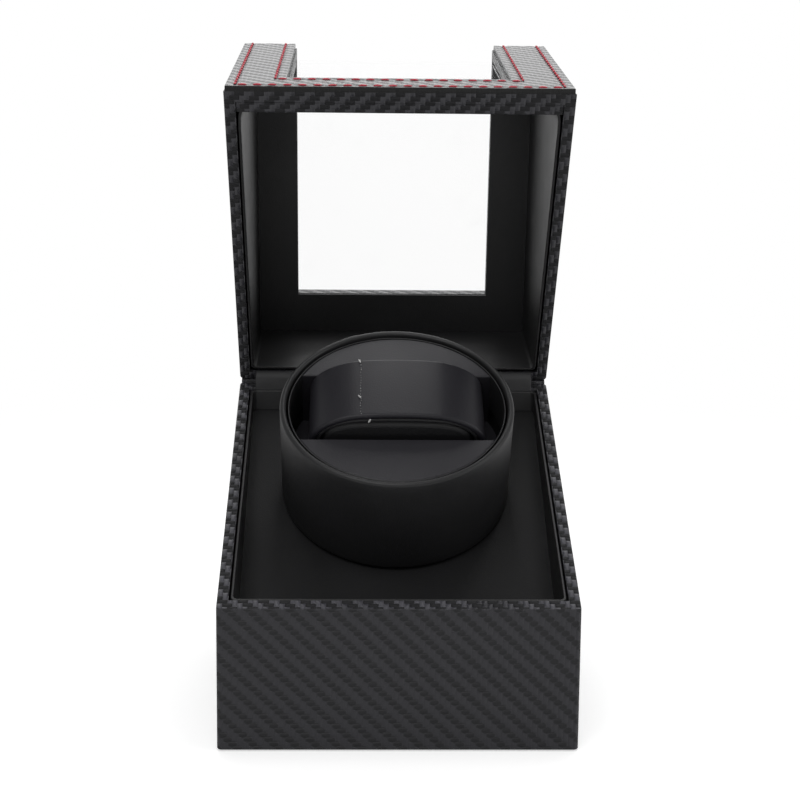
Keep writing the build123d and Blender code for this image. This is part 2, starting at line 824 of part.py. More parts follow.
cup_outer = cup_radius - cup_wrap
cup_inner = cup_outer - cup_wall
lip_inner = cup_inner - cup_wrap
cup_floor_top = cup_floor_level + cup_floor
shell_top = cup_height - cup_wrap
shell_round = cup_wall / 2 - 0.05
with BuildPart() as drum_cup:
    with BuildSketch(level(cup_lift)):
        Circle(cup_outer)
    extrude(amount=shell_top - cup_lift)
    with BuildSketch(level(cup_floor_top)):
        Circle(cup_inner)
    extrude(amount=cup_height, mode=Mode.SUBTRACT)
    with BuildSketch(level(cup_lift)):
        Circle(cup_inner)
    extrude(amount=hub_thickness, mode=Mode.SUBTRACT)
    with BuildSketch(level(cup_floor_level)):
        hub_screw_spots(hub_screw_radius)
    extrude(amount=cup_floor, mode=Mode.SUBTRACT)
    fillet(edges().group_by(deck_normal)[-1], shell_round)
drum_cup.part.label = "drum_cup"
export_step(drum_cup.part, "parts/drum_cup.step")

# The wrap is turned over the rim and glued a little way down inside.
cup_section = Plane(origin=deck.origin, x_dir=(1, 0, 0), z_dir=(-deck.y_dir))
with BuildPart() as drum_wrap:
    with BuildSketch(cup_section):
        with BuildLine():
            Polyline(
                (cup_outer, cup_lift),
                (cup_radius, cup_lift),
                (cup_radius, cup_height - rim_round),
            )
            RadiusArc((cup_radius, cup_height - rim_round), (cup_radius - rim_round, cup_height), -rim_round)
            Line((cup_radius - rim_round, cup_height), (lip_inner + rim_round, cup_height))
            RadiusArc((lip_inner + rim_round, cup_height), (lip_inner, cup_height - rim_round), -rim_round)
            Polyline(
                (lip_inner, cup_height - rim_round),
                (lip_inner, cup_height - cup_lip_depth),
                (cup_inner, cup_height - cup_lip_depth),
                (cup_inner, shell_top - shell_round),
            )
            RadiusArc(
                (cup_inner, shell_top - shell_round),
                (cup_inner + shell_round, shell_top),
                shell_round,
            )
            Line((cup_inner + shell_round, shell_top), (cup_outer - shell_round, shell_top))
            RadiusArc(
                (cup_outer - shell_round, shell_top),
                (cup_outer, shell_top - shell_round),
                shell_round,
            )
            Line((cup_outer, shell_top - shell_round), (cup_outer, cup_lift))
        make_face()
    revolve(axis=deck_normal)
drum_wrap.part.label = "drum_wrap"
export_step(drum_wrap.part, "parts/drum_wrap.step")

with BuildPart() as hub_screws:
    with BuildSketch(level(cup_lift + hub_screw_start)):
        hub_screw_spots(hub_screw_radius)
    extrude(amount=cup_floor_top - cup_lift - hub_screw_start)
    with BuildSketch(level(cup_floor_top)):
        hub_screw_spots(2 * hub_screw_radius)
    extrude(amount=hub_screw_head)
hub_screws.part.label = "hub_screws"
export_step(hub_screws.part, "parts/hub_screws.step")

insert_radius = lip_inner - insert_gap
insert_top = cup_height - insert_recess
with BuildPart() as drum_insert:
    with BuildSketch(level(cup_floor_top)):
        Circle(insert_radius)
    extrude(amount=insert_top - cup_floor_top)
    with BuildSketch(level(slot_floor_level)):
        Rectangle(3 * insert_radius, 2 * slot_half_length)
    extrude(amount=cup_height, mode=Mode.SUBTRACT)
    fillet(edges().group_by(deck_normal)[-1], insert_edge)
    with BuildSketch(level(cup_floor_top)):
        hub_screw_spots(2 * hub_screw_radius + hub_screw_pocket)
    extrude(amount=hub_screw_head + hub_screw_pocket, mode=Mode.SUBTRACT)
drum_insert.part.label = "drum_insert"
export_step(drum_insert.part, "parts/drum_insert.step")

# ================================================================ watch pillow
pillow_level = slot_floor_level + pillow_fit + pillow_half_height
pillow_length = 2 * (slot_half_length - pillow_fit)
pillow_section = Plane(
    origin=deck.origin + deck.z_dir * pillow_level,
    x_dir=(1, 0, 0),
    z_dir=-deck.y_dir,
)
band_outer = pillow_skin + pillow_layer_gap
core_outer = band_outer + pillow_band + pillow_layer_gap


def pillow_oval(inset, mode=Mode.ADD):
    """The pillow's oval section, drawn in by inset."""
    Ellipse(pillow_half_width - inset, pillow_half_height - inset, mode=mode)


with BuildPart() as pillow_cover:
    with BuildSketch(pillow_section):
        pillow_oval(0)
        pillow_oval(pillow_skin, Mode.SUBTRACT)
    extrude(amount=pillow_length / 2, both=True)
pillow_cover.part.label = "pillow_cover"
export_step(pillow_cover.part, "parts/pillow_cover.step")

with BuildPart() as pillow_liner:
    with BuildSketch(pillow_section):
        pillow_oval(band_outer)
        pillow_oval(band_outer + pillow_band, Mode.SUBTRACT)
    extrude(amount=pillow_length / 2 - pillow_step, both=True)
pillow_liner.part.label = "pillow_liner"
export_step(pillow_liner.part, "parts/pillow_liner.step")

with BuildPart() as pillow_core:
    with BuildSketch(pillow_section):
        pillow_oval(core_outer)
    extrude(amount=pillow_length / 2 - 2 * pillow_step, both=True)
pillow_core.part.label = "pillow_core"
export_step(pillow_core.part, "parts/pillow_core.step")

# ================================================================ lid: shell, facing, pane, linings
lid_front_face = facing_thickness - half_depth
pane_front = lid_front_face + board
lid_rim_low = rim_height(-half_depth) + rim_step


def lid_rim(y):
    """Height of the closed lid's rim at a distance y from the middle."""
    return rim_height(y) + rim_step


def window_outline():
    """The window's side view: it starts in the front wall and turns over the front edge."""
    outline([
        (-depth, window_sill),
        (-inside_y + window_turn, window_sill),
        (-inside_y + window_turn, top_inside - window_turn),
        (window_back, top_inside - window_turn),
        (window_back, 2 * height),
        (-depth, 2 * height),
    ])


with BuildPart() as lid_carcass:
    with BuildSketch(lid_side):
        outline([
            (lid_front_face, lid_rim(lid_front_face)),
            (half_depth, lid_rim(half_depth)),
            (half_depth, height - facing_thickness),
            (lid_front_face, height - facing_thickness),
        ])
    extrude(amount=half_width, both=True)
    fillet(edges().filter_by(lid_vertical).group_by(lid_depth)[-1], corner_radius)
    with BuildSketch(lid_side):
        outline([
            (pane_front, 0),
            (inside_y, 0),
            (inside_y, top_inside),
            (pane_front, top_inside),
        ])
    extrude(amount=inside_x, both=True, mode=Mode.SUBTRACT)
    with BuildSketch(lid_side):
        window_outline()
    extrude(amount=window_half_width, both=True, mode=Mode.SUBTRACT)
    for side_x in (-hinge_x, hinge_x):
        with BuildSketch(lid_side.offset(side_x)):
            with Locations((hinge_y, hinge_z)):
                Circle(knuckle_radius + knuckle_air)
            outline([
                (hinge_y, hinge_z),
                (inside_y - leaf, rim_height(inside_y - leaf)),
                (inside_y - leaf, rim_height(inside_y - leaf) + leaf_drop + leaf + rim_step),
                (inside_y + leaf, rim_height(inside_y) + leaf_drop + leaf + rim_step),
                (inside_y + leaf, rim_height(inside_y + leaf) + leaf / cos(rim_slope) + rim_step),
                (hinge_y, hinge_z + leaf / cos(rim_slope) + rim_step),
            ])
        extrude(amount=hinge_length / 2 + knuckle_air, both=True, mode=Mode.SUBTRACT)
        with BuildSketch(lid_back_wall):
            brad_spots(1, side_x, brad_radius)
        extrude(amount=-brad_length, mode=Mode.SUBTRACT)
lid_carcass.part.label = "lid_carcass"
export_step(lid_carcass.part, "parts/lid_carcass.step")

with BuildPart() as lid_facing:
    with BuildSketch(lid_side):
        outline([
            (-half_depth, lid_rim(-half_depth)),
            (lid_front_face, lid_rim(lid_front_face)),
            (lid_front_face, height - facing_thickness),
            (half_depth, height - facing_thickness),
            (half_depth, height),
            (-half_depth, height),
        ])
    extrude(amount=half_width, both=True)
    with BuildSketch(lid_side):
        window_outline()
    extrude(amount=window_half_width, both=True, mode=Mode.SUBTRACT)
    fillet(faces().sort_by(lid_depth)[0].edges(), rim_radius)
lid_facing.part.label = "lid_facing"
export_step(lid_facing.part, "parts/lid_facing.step")

with BuildPart() as window_pane:
    with BuildSketch(lid_side):
        outline([
            (pane_front, window_sill - pane_overlap),
            (pane_front + pane_thickness, window_sill - pane_overlap),
            (pane_front + pane_thickness, top_inside - pane_thickness),
            (window_back + pane_overlap, top_inside - pane_thickness),
            (window_back + pane_overlap, top_inside),
            (pane_front, top_inside),
        ])
    extrude(amount=window_half_width + pane_overlap, both=True)
    long_edges = edges().filter_by(Axis.X)
    fillet(long_edges.group_by(lid_depth)[1].group_by(lid_vertical)[-1], pane_bend)
    long_edges = edges().filter_by(Axis.X)
    fillet(long_edges.group_by(lid_depth)[0].group_by(lid_vertical)[-1], pane_bend + pane_thickness)
window_pane.part.label = "window_pane"
export_step(window_pane.part, "parts/window_pane.step")

# The lining is one band of card round the walls, and a flat card under the top.
band_front = pane_front + pane_thickness + flush_gap
band_top = top_inside - pane_thickness - card
card_front = band_front + pane_bend
with BuildPart() as lid_lining:
    with BuildSketch(lid_side):
        outline([
            (band_front, lid_rim(band_front) + card_recess),
            (lining_y, lid_rim(lining_y) + card_recess),
            (lining_y, band_top - flush_gap),
            (band_front, band_top - flush_gap),
        ])
    extrude(amount=lining_x, both=True)
    band_corners = edges().filter_by(lid_vertical).group_by(lid_depth)
    fillet(band_corners[-1], lining_back_bend)
    fillet(band_corners[0], lining_front_bend)
    with BuildSketch(lid_side):
        outline([
            (band_front + card, 0),
            (lining_y - card, 0),
            (lining_y - card, height),
            (band_front + card, height),
        ])
    inner = extrude(amount=lining_x - card, both=True, mode=Mode.PRIVATE)
    inner_corners = inner.edges().filter_by(lid_vertical).group_by(lid_depth)
    inner = inner.fillet(lining_back_bend - card / 2, inner_corners[-1])
    inner_corners = inner.edges().filter_by(lid_vertical).group_by(lid_depth)
    inner = inner.fillet(lining_front_bend - card, inner_corners[0])
    add(inner, mode=Mode.SUBTRACT)
    with BuildSketch(lid_side):
        window_outline()
    extrude(amount=window_half_width, both=True, mode=Mode.SUBTRACT)
lid_lining.part.label = "lid_lining"
export_step(lid_lining.part, "parts/lid_lining.step")

with BuildPart() as lid_top_card:
    with BuildSketch(lid_floor.offset(band_top)):
        with Locations((0, (card_front + lining_y) / 2)):
            Rectangle(2 * lining_x, lining_y - card_front)
    extrude(amount=card)
    with BuildSketch(lid_side):
        window_outline()
    extrude(amount=window_half_width, both=True, mode=Mode.SUBTRACT)
lid_top_card.part.label = "lid_top_card"
export_step(lid_top_card.part, "parts/lid_top_card.step")


def stitch_run(start, end):
    """Evenly spaced stitches along a straight line of the open sketch."""
    dx = end[0] - start[0]
    dy = end[1] - start[1]
    length = sqrt(dx * dx + dy * dy)
    count = max(2, round(length / stitch_pitch))
    turn = 0 if abs(dx) > abs(dy) else 90
    for number in range(count):
        share = (number + 0.5) / count
        with Locations((start[0] + share * dx, start[1] + share * dy)):
            SlotOverall(stitch_length, stitch_width, rotation=turn)


seam_x = half_width - stitch_margin
eye_x = window_half_width + stitch_margin
front_seam = front_rim_height + stitch_margin + rim_step
front_eye = window_sill - stitch_margin
back_seam = half_depth - stitch_margin
back_eye = window_back + stitch_margin
with BuildPart() as facing_stitches:
    with BuildSketch(lid_face):
        stitch_run((-seam_x, front_seam), (seam_x, front_seam))
        stitch_run((-eye_x, front_eye), (eye_x, front_eye))
        for sx in (-1, 1):
            stitch_run((sx * seam_x, front_seam + stitch_width), (sx * seam_x, height - stitch_corner_gap))
            stitch_run((sx * eye_x, front_eye + stitch_width), (sx * eye_x, height - stitch_corner_gap))
    extrude(amount=stitch_height)
    with BuildSketch(lid_top):
        stitch_run((-seam_x, back_seam), (seam_x, back_seam))
        stitch_run((-eye_x, back_eye), (eye_x, back_eye))
        for sx in (-1, 1):
            stitch_run((sx * seam_x, stitch_corner_gap - half_depth), (sx * seam_x, back_seam - stitch_width))
            stitch_run((sx * eye_x, stitch_corner_gap - half_depth), (sx * eye_x, back_eye - stitch_width))
    extrude(amount=stitch_height)
facing_stitches.part.label = "facing_stitches"
export_step(facing_stitches.part, "parts/facing_stitches.step")

# ================================================================ hinges
leaf_seat = leaf / cos(rim_slope)
side_knuckle = (hinge_length - hinge_middle) / 2


def leaf_outline(sign):
    """A leaf's side view: along the rim, then down the wall's inner face.  sign -1 base, 1 lid."""
    seat = inside_y + leaf
    outline([
        (hinge_y, hinge_z + sign * rim_step),
        (inside_y, rim_height(inside_y) + sign * rim_step),
        (inside_y, rim_height(inside_y) + sign * (rim_step + leaf_drop)),
        (seat, rim_height(inside_y) + sign * (rim_step + leaf_drop)),
        (seat, rim_height(seat) + sign * (rim_step + leaf_seat)),
        (hinge_y, hinge_z + sign * (rim_step + leaf_seat)),
    ])


with BuildPart() as hinge_base_leaves:
    for side_x in (-hinge_x, hinge_x):
        with BuildSketch(side.offset(side_x)):
            leaf_outline(-1)
        extrude(amount=hinge_length / 2, both=True)
        for end in (-1, 1):
            with BuildSketch(side.offset(side_x + end * (hinge_length - side_knuckle) / 2)):
                with Locations((hinge_y, hinge_z)):
                    Circle(knuckle_radius)
            extrude(amount=side_knuckle / 2, both=True)
        with BuildSketch(side.offset(side_x)):
            with Locations((hinge_y, hinge_z)):
                Circle(knuckle_radius + knuckle_gap)
        extrude(amount=hinge_length / 2 - side_knuckle, both=True, mode=Mode.SUBTRACT)
        with BuildSketch(side.offset(side_x)):
            with Locations((hinge_y, hinge_z)):
                Circle(hinge_pin_radius)
        extrude(amount=hinge_length, both=True, mode=Mode.SUBTRACT)
        with BuildSketch(Plane.XZ.offset(-inside_y)):
            brad_spots(-1, side_x, brad_radius)
        extrude(amount=-2 * leaf, mode=Mode.SUBTRACT)
hinge_base_leaves.part.label = "hinge_base_leaves"
export_step(hinge_base_leaves.part, "parts/hinge_base_leaves.step")

with BuildPart() as hinge_lid_leaves:
    for side_x in (-hinge_x, hinge_x):
        with BuildSketch(lid_side.offset(side_x)):
            leaf_outline(1)
        extrude(amount=hinge_length / 2, both=True)
        for end in (-1, 1):
            with BuildSketch(lid_side.offset(side_x + end * (hinge_length - side_knuckle) / 2)):
                with Locations((hinge_y, hinge_z)):
                    Circle(knuckle_radius + knuckle_gap)
            extrude(amount=side_knuckle / 2 + knuckle_gap, both=True, mode=Mode.SUBTRACT)
        with BuildSketch(lid_side.offset(side_x)):
            with Locations((hinge_y, hinge_z)):
                Circle(knuckle_radius)
        extrude(amount=hinge_length / 2 - side_knuckle - knuckle_gap, both=True)
        with BuildSketch(lid_side.offset(side_x)):
            with Locations((hinge_y, hinge_z)):
                Circle(hinge_pin_radius + running_clearance)
        extrude(amount=hinge_length, both=True, mode=Mode.SUBTRACT)
        with BuildSketch(lid_back_wall):
            brad_spots(1, side_x, brad_radius)
        extrude(amount=-2 * leaf, mode=Mode.SUBTRACT)
hinge_lid_leaves.part.label = "hinge_lid_leaves"
export_step(hinge_lid_leaves.part, "parts/hinge_lid_leaves.step")

with BuildPart() as hinge_pins:
    for side_x in (-hinge_x, hinge_x):
        with BuildSketch(side.offset(side_x)):
            with Locations((hinge_y, hinge_z)):
                Circle(hinge_pin_radius)
        extrude(amount=hinge_length / 2, both=True)
hinge_pins.part.label = "hinge_pins"
export_step(hinge_pins.part, "parts/hinge_pins.step")

with BuildPart() as hinge_base_brads:
    for side_x in (-hinge_x, hinge_x):
        with BuildSketch(Plane.XZ.offset(-inside_y)):
            brad_spots(-1, side_x, brad_radius)
        extrude(amount=-brad_length)
        with BuildSketch(Plane.XZ.offset(-inside_y)):
            brad_spots(-1, side_x, brad_head_radius)
        extrude(amount=brad_head)
hinge_base_brads.part.label = "hinge_base_brads"
export_step(hinge_base_brads.part, "parts/hinge_base_brads.step")

with BuildPart() as hinge_lid_brads:
    for side_x in (-hinge_x, hinge_x):
        with BuildSketch(lid_back_wall):
            brad_spots(1, side_x, brad_radius)
        extrude(amount=-brad_length)
        with BuildSketch(lid_back_wall):
            brad_spots(1, side_x, brad_head_radius)
        extrude(amount=brad_head)
hinge_lid_brads.part.label = "hinge_lid_brads"
export_step(hinge_lid_brads.part, "parts/hinge_lid_brads.step")

# The cloth strip that closes the joint inside.  It is glued behind both linings, bends over the
# joint, and pulls tight when the lid reaches its stop.
strip_line = inside_y - card_gap / 2
strip_entry = swung(strip_line, hinge_z)
strip_corner_z = strip_entry[2] - (strip_entry[1] - strip_line) * tan(pi / 2 - swing)
with BuildPart() as hinge_strip:
    with BuildSketch(side):
        with BuildLine():
            FilletPolyline(
                (strip_line, rim_height(inside_y) - strip_tuck),
                (strip_line, strip_corner_z),
                swung(strip_line, rim_height(inside_y) + strip_tuck)[1:],
                radius=strip_bend,
            )
        trace(line_width=strip_thickness)
    extrude(amount=strip_half_width, both=True)
hinge_strip.part.label = "hinge_strip"
export_step(hinge_strip.part, "parts/hinge_strip.step")

# ================================================================ back plate and its controls
back_face = Plane.XZ.offset(-half_depth)
plate_face = back_face.offset(-plate_thickness)
with BuildPart() as back_plate:
    with BuildSketch(back_face):
        with Locations((0, controls_height)):
            RectangleRounded(plate_width, plate_height, plate_corner)
    extrude(amount=-plate_thickness)
    fillet(faces().sort_by(Axis.Y)[-1].edges(), plate_edge)
    with BuildSketch(back_face):
        with Locations((knob_x, controls_height)):
            Circle(knob_stem_radius + stem_air)
        with Locations((rocker_x, controls_height)):
            Rectangle(rocker_width + 2 * switch_wall, rocker_height + 2 * switch_wall)
        with Locations((socket_x, controls_height)):
            Circle(socket_radius)
        plate_screw_spots(plate_screw_radius)
    extrude(amount=-plate_thickness, mode=Mode.SUBTRACT)
back_plate.part.label = "back_plate"
export_step(back_plate.part, "parts/back_plate.step")

with BuildPart() as plate_screws:
    with BuildSketch(plate_face):
        plate_screw_spots(plate_screw_radius)
    extrude(amount=plate_thickness + plate_screw_depth)
    with BuildSketch(plate_face):
        plate_screw_spots(plate_screw_head_radius)
    extrude(amount=-plate_screw_head)
plate_screws.part.label = "plate_screws"
export_step(plate_screws.part, "parts/plate_screws.step")

with BuildPart() as rotary_switch:
    with BuildSketch(back_face):
        with Locations((knob_x, controls_height)):
            Rectangle(rotary_body, rotary_body)
    extrude(amount=rotary_depth)
    with BuildSketch(back_face):
        with Locations((knob_x, controls_height)):
            Circle(knob_stem_radius + running_clearance)
    extrude(amount=rotary_depth - rotary_back, mode=Mode.SUBTRACT)
    with BuildSketch(back_face.offset(rotary_depth)):
        with Locations((knob_x, controls_height)):
            with PolarLocations(rotary_pin_circle, 5, 90):
                Rectangle(rotary_pin_width, rotary_pin_depth)
    extrude(amount=rotary_pin_length)
rotary_switch.part.label = "rotary_switch"
export_step(rotary_switch.part, "parts/rotary_switch.step")

with BuildPart() as mode_knob:
    with BuildSketch(plate_face.offset(-knob_gap)):
        with Locations((knob_x, controls_height)):
            Circle(knob_radius)
    extrude(amount=-knob_height)
    fillet(edges().group_by(Axis.Y)[-1], knob_edge)
    with BuildSketch(plate_face.offset(-knob_gap)):
        with Locations((knob_x, controls_height)):
            with PolarLocations(knob_radius + grip_proud, grip_count, 180 / grip_count):
                Circle(grip_radius)
    extrude(amount=-knob_height + grip_stop, mode=Mode.SUBTRACT)
    with BuildSketch(plate_face.offset(-knob_gap - knob_height)):
        with Locations((knob_x, controls_height + knob_radius / 2)):
            Rectangle(pointer_width, knob_radius)
    extrude(amount=pointer_depth, mode=Mode.SUBTRACT)
    with BuildSketch(plate_face.offset(-knob_gap - stem_root)):
        with Locations((knob_x, controls_height)):
            Circle(knob_stem_radius)
    extrude(amount=knob_gap + stem_root + plate_thickness + rotary_depth - rotary_back - stem_end_air)
mode_knob.part.label = "mode_knob"
export_step(mode_knob.part, "parts/mode_knob.step")

with BuildPart() as switch_body:
    with BuildSketch(plate_face):
        with Locations((rocker_x, controls_height)):
            RectangleRounded(bezel_width, bezel_height, bezel_corner)
    extrude(amount=-bezel_thickness)
    fillet(faces().sort_by(Axis.Y)[-1].edges(), bezel_edge)
    with BuildSketch(plate_face):
        with Locations((rocker_x, controls_height)):
            Rectangle(rocker_width + 2 * switch_wall, rocker_height + 2 * switch_wall)
    extrude(amount=switch_depth)
    with BuildSketch(plate_face.offset(-bezel_thickness)):
        with Locations((rocker_x, controls_height)):
            Rectangle(rocker_width, rocker_height)
    extrude(amount=bezel_thickness + switch_well, mode=Mode.SUBTRACT)
    with BuildSketch(plate_face.offset(switch_depth)):
        with Locations((rocker_x, controls_height)):
            with GridLocations(switch_pin_pitch, 1, 2, 1):
                Rectangle(switch_pin_thickness, switch_pin_width)
    extrude(amount=switch_pin_length)
switch_body.part.label = "switch_body"
export_step(switch_body.part, "parts/switch_body.step")

# The rocker tips sideways about an upright pivot; one half stands proud.
rocker_half = rocker_width / 2 - rocker_air
rocker_pivot_y = half_depth + plate_thickness - rocker_pivot_depth
with BuildPart() as power_rocker:
    with BuildSketch(Plane.XY.offset(controls_height)):
        with Locations(Location((rocker_x, rocker_pivot_y, 0), (0, 0, -rocker_angle / 2))):
            Polygon(
                (rocker_root_inset - rocker_half, -rocker_root),
                (rocker_half - rocker_root_inset, -rocker_root),
                (rocker_half - rocker_end_inset, rocker_end),
                (0, rocker_valley),
                (rocker_end_inset - rocker_half, rocker_end),
                align=None,
            )
    extrude(amount=rocker_height / 2 - rocker_air, both=True)
    with BuildSketch(Plane.XY.offset(controls_height)):
        with Locations((rocker_x, rocker_pivot_y)):
            Circle(rocker_pivot_radius)
    extrude(amount=rocker_height / 2 - running_clearance, both=True)
power_rocker.part.label = "power_rocker"
export_step(power_rocker.part, "parts/power_rocker.step")

with BuildPart() as power_socket:
    with BuildSketch(plate_face):
        with Locations((socket_x, controls_height)):
            Circle(socket_flange_radius)
    extrude(amount=-socket_flange)
    with BuildSketch(plate_face):
        with Locations((socket_x, controls_height)):
            Circle(socket_radius)
    extrude(amount=socket_depth)
    with BuildSketch(plate_face.offset(-socket_flange)):
        with Locations((socket_x, controls_height)):
            Circle(socket_bore)
    extrude(amount=socket_flange + socket_depth - socket_back, mode=Mode.SUBTRACT)
    with BuildSketch(back_face.offset(nut_air)):
        with Locations((socket_x, controls_height)):
            RegularPolygon(socket_flange_radius, 6)
            Circle(socket_radius, mode=Mode.SUBTRACT)
    extrude(amount=nut_thickness)
power_socket.part.label = "power_socket"
export_step(power_socket.part, "parts/power_socket.step")

with BuildPart() as socket_contact:
    with BuildSketch(plate_face.offset(socket_depth - socket_back)):
        with Locations((socket_x, controls_height)):
            Circle(contact_radius)
    extrude(amount=contact_recess + socket_back - socket_depth)
socket_contact.part.label = "socket_contact"
export_step(socket_contact.part, "parts/socket_contact.step")

# ================================================================ control board on the floor
board_bottom = floor_top + standoff_height
board_top = board_bottom + board_thickness
with BuildPart() as control_board:
    with BuildSketch(Plane.XY.offset(board_bottom)):
        with Locations(board_centre):
            Rectangle(board_length, board_width)
        standoff_spots(board_screw_radius, Mode.SUBTRACT)
    extrude(amount=board_thickness)
control_board.part.label = "control_board"
export_step(control_board.part, "parts/control_board.step")

with BuildPart() as board_screws:
    with BuildSketch(Plane.XY.offset(floor_top + board_screw_start)):
        standoff_spots(board_screw_radius)
    extrude(amount=board_top - floor_top - board_screw_start)
    with BuildSketch(Plane.XY.offset(board_top)):
        standoff_spots(2 * board_screw_radius)
    extrude(amount=board_screw_head)
board_screws.part.label = "board_screws"
export_step(board_screws.part, "parts/board_screws.step")

with BuildPart() as board_chips:
    with BuildSketch(Plane.XY.offset(board_top)):
        with Locations(board_centre):
            Rectangle(chip_width, chip_length)
            with Locations(driver_spot):
                Rectangle(driver_length, driver_width)
            with Locations(*resistor_spots):
                Rectangle(2 * resistor_width, resistor_width)
    extrude(amount=chip_height)
    with BuildSketch(Plane.XY.offset(board_top)):
        with Locations(board_centre):
            with Locations(capacitor_spot):
                Circle(capacitor_radius)
    extrude(amount=capacitor_height)
board_chips.part.label = "board_chips"
export_step(board_chips.part, "parts/board_chips.step")

with BuildPart() as board_plugs:
    with BuildSketch(Plane.XY.offset(board_top)):
        with Locations(board_centre):
            with Locations(*plug_spots):
                Rectangle(plug_length, plug_width)
    extrude(amount=plug_height)
board_plugs.part.label = "board_plugs"
export_step(board_plugs.part, "parts/board_plugs.step")
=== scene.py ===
"""Looks of a single watch winder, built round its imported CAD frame.

Every piece is made in metres in the frame's own place.  The lid stands open at rest, so its pieces
are shaped as if it were shut and then turned open about the hinge.
"""

import json
import logging
import math
import random
from dataclasses import dataclass, field
from enum import Enum
from typing import Callable

import bmesh
import bpy
from mathutils import Matrix, Vector, noise


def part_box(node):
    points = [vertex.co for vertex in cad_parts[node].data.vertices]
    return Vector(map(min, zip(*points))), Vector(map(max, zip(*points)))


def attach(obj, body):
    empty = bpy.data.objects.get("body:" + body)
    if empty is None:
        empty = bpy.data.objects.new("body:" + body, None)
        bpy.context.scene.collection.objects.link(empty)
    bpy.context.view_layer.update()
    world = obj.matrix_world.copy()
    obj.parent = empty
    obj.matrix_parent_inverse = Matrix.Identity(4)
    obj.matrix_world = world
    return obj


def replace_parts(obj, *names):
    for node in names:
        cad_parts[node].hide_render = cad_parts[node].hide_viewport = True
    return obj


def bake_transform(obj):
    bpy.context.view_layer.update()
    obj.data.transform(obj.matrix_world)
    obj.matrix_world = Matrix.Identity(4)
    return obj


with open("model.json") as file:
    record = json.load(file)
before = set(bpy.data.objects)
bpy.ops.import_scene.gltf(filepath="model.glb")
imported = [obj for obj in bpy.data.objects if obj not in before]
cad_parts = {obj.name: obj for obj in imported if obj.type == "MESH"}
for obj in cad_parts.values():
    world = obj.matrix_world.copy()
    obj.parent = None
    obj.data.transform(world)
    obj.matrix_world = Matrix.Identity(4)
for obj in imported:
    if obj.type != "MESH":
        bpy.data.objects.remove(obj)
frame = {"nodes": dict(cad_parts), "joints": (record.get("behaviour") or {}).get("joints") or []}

MM = 0.001
LOG = logging.getLogger("watch_winder")
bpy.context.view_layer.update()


# ------------------------------------------------------------------------------ the frame's places
def joint(name: str) -> dict:
    """Find a joint of the frame.

    Args:
        name: the joint's name.

    Returns:
        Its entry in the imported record.
    """
    return next(j for j in frame["joints"] if j["name"] == name)


HINGE = Vector(joint("lid_hinge")["pos_m"])
LID_TURN = math.radians(-joint("lid_hinge")["range_deg"][0])
CUP_AXIS = Vector(joint("drum_spin")["axis"]).normalized()
CUP_FOOT = Vector(joint("drum_spin")["pos_m"])
OPEN_LID = Matrix.Translation(HINGE) @ Matrix.Rotation(-LID_TURN, 4, "X") @ Matrix.Translation(-HINGE)
SHUT_LID = OPEN_LID.inverted()
DECK = Matrix.Translation(CUP_FOOT) @ Vector((0, 0, 1)).rotation_difference(CUP_AXIS).to_matrix().to_4x4()


def turned_box(node: str, turn: Matrix) -> tuple[Vector, Vector]:
    """Measure a CAD node in a turned frame.

    Args:
        node: the node's name.
        turn: the matrix that takes the row frame to the turned one.

    Returns:
        The lowest and the highest corner.
    """
    points = [turn @ v.co for v in frame["nodes"][node].data.vertices]
    low = Vector([min(p[i] for p in points) for i in range(3)])
    high = Vector([max(p[i] for p in points) for i in range(3)])
    return low, high


# How far the facing's dark band reaches up from its foot, and the height where its finish starts, in mm: the
# band is its cut edge, with painted shade of the seam between it and the shell.
FACING_CUT = 1.1
FACING_FOOT = turned_box("lid_facing", Matrix.Rotation(LID_TURN, 4, "X"))[0].z / MM + FACING_CUT


class Body(Enum):
    """The rigid bodies that pieces ride on."""

    BASE = "base"
    LID = "lid"
    DRUM = "drum"
    PILLOW = "pillow"


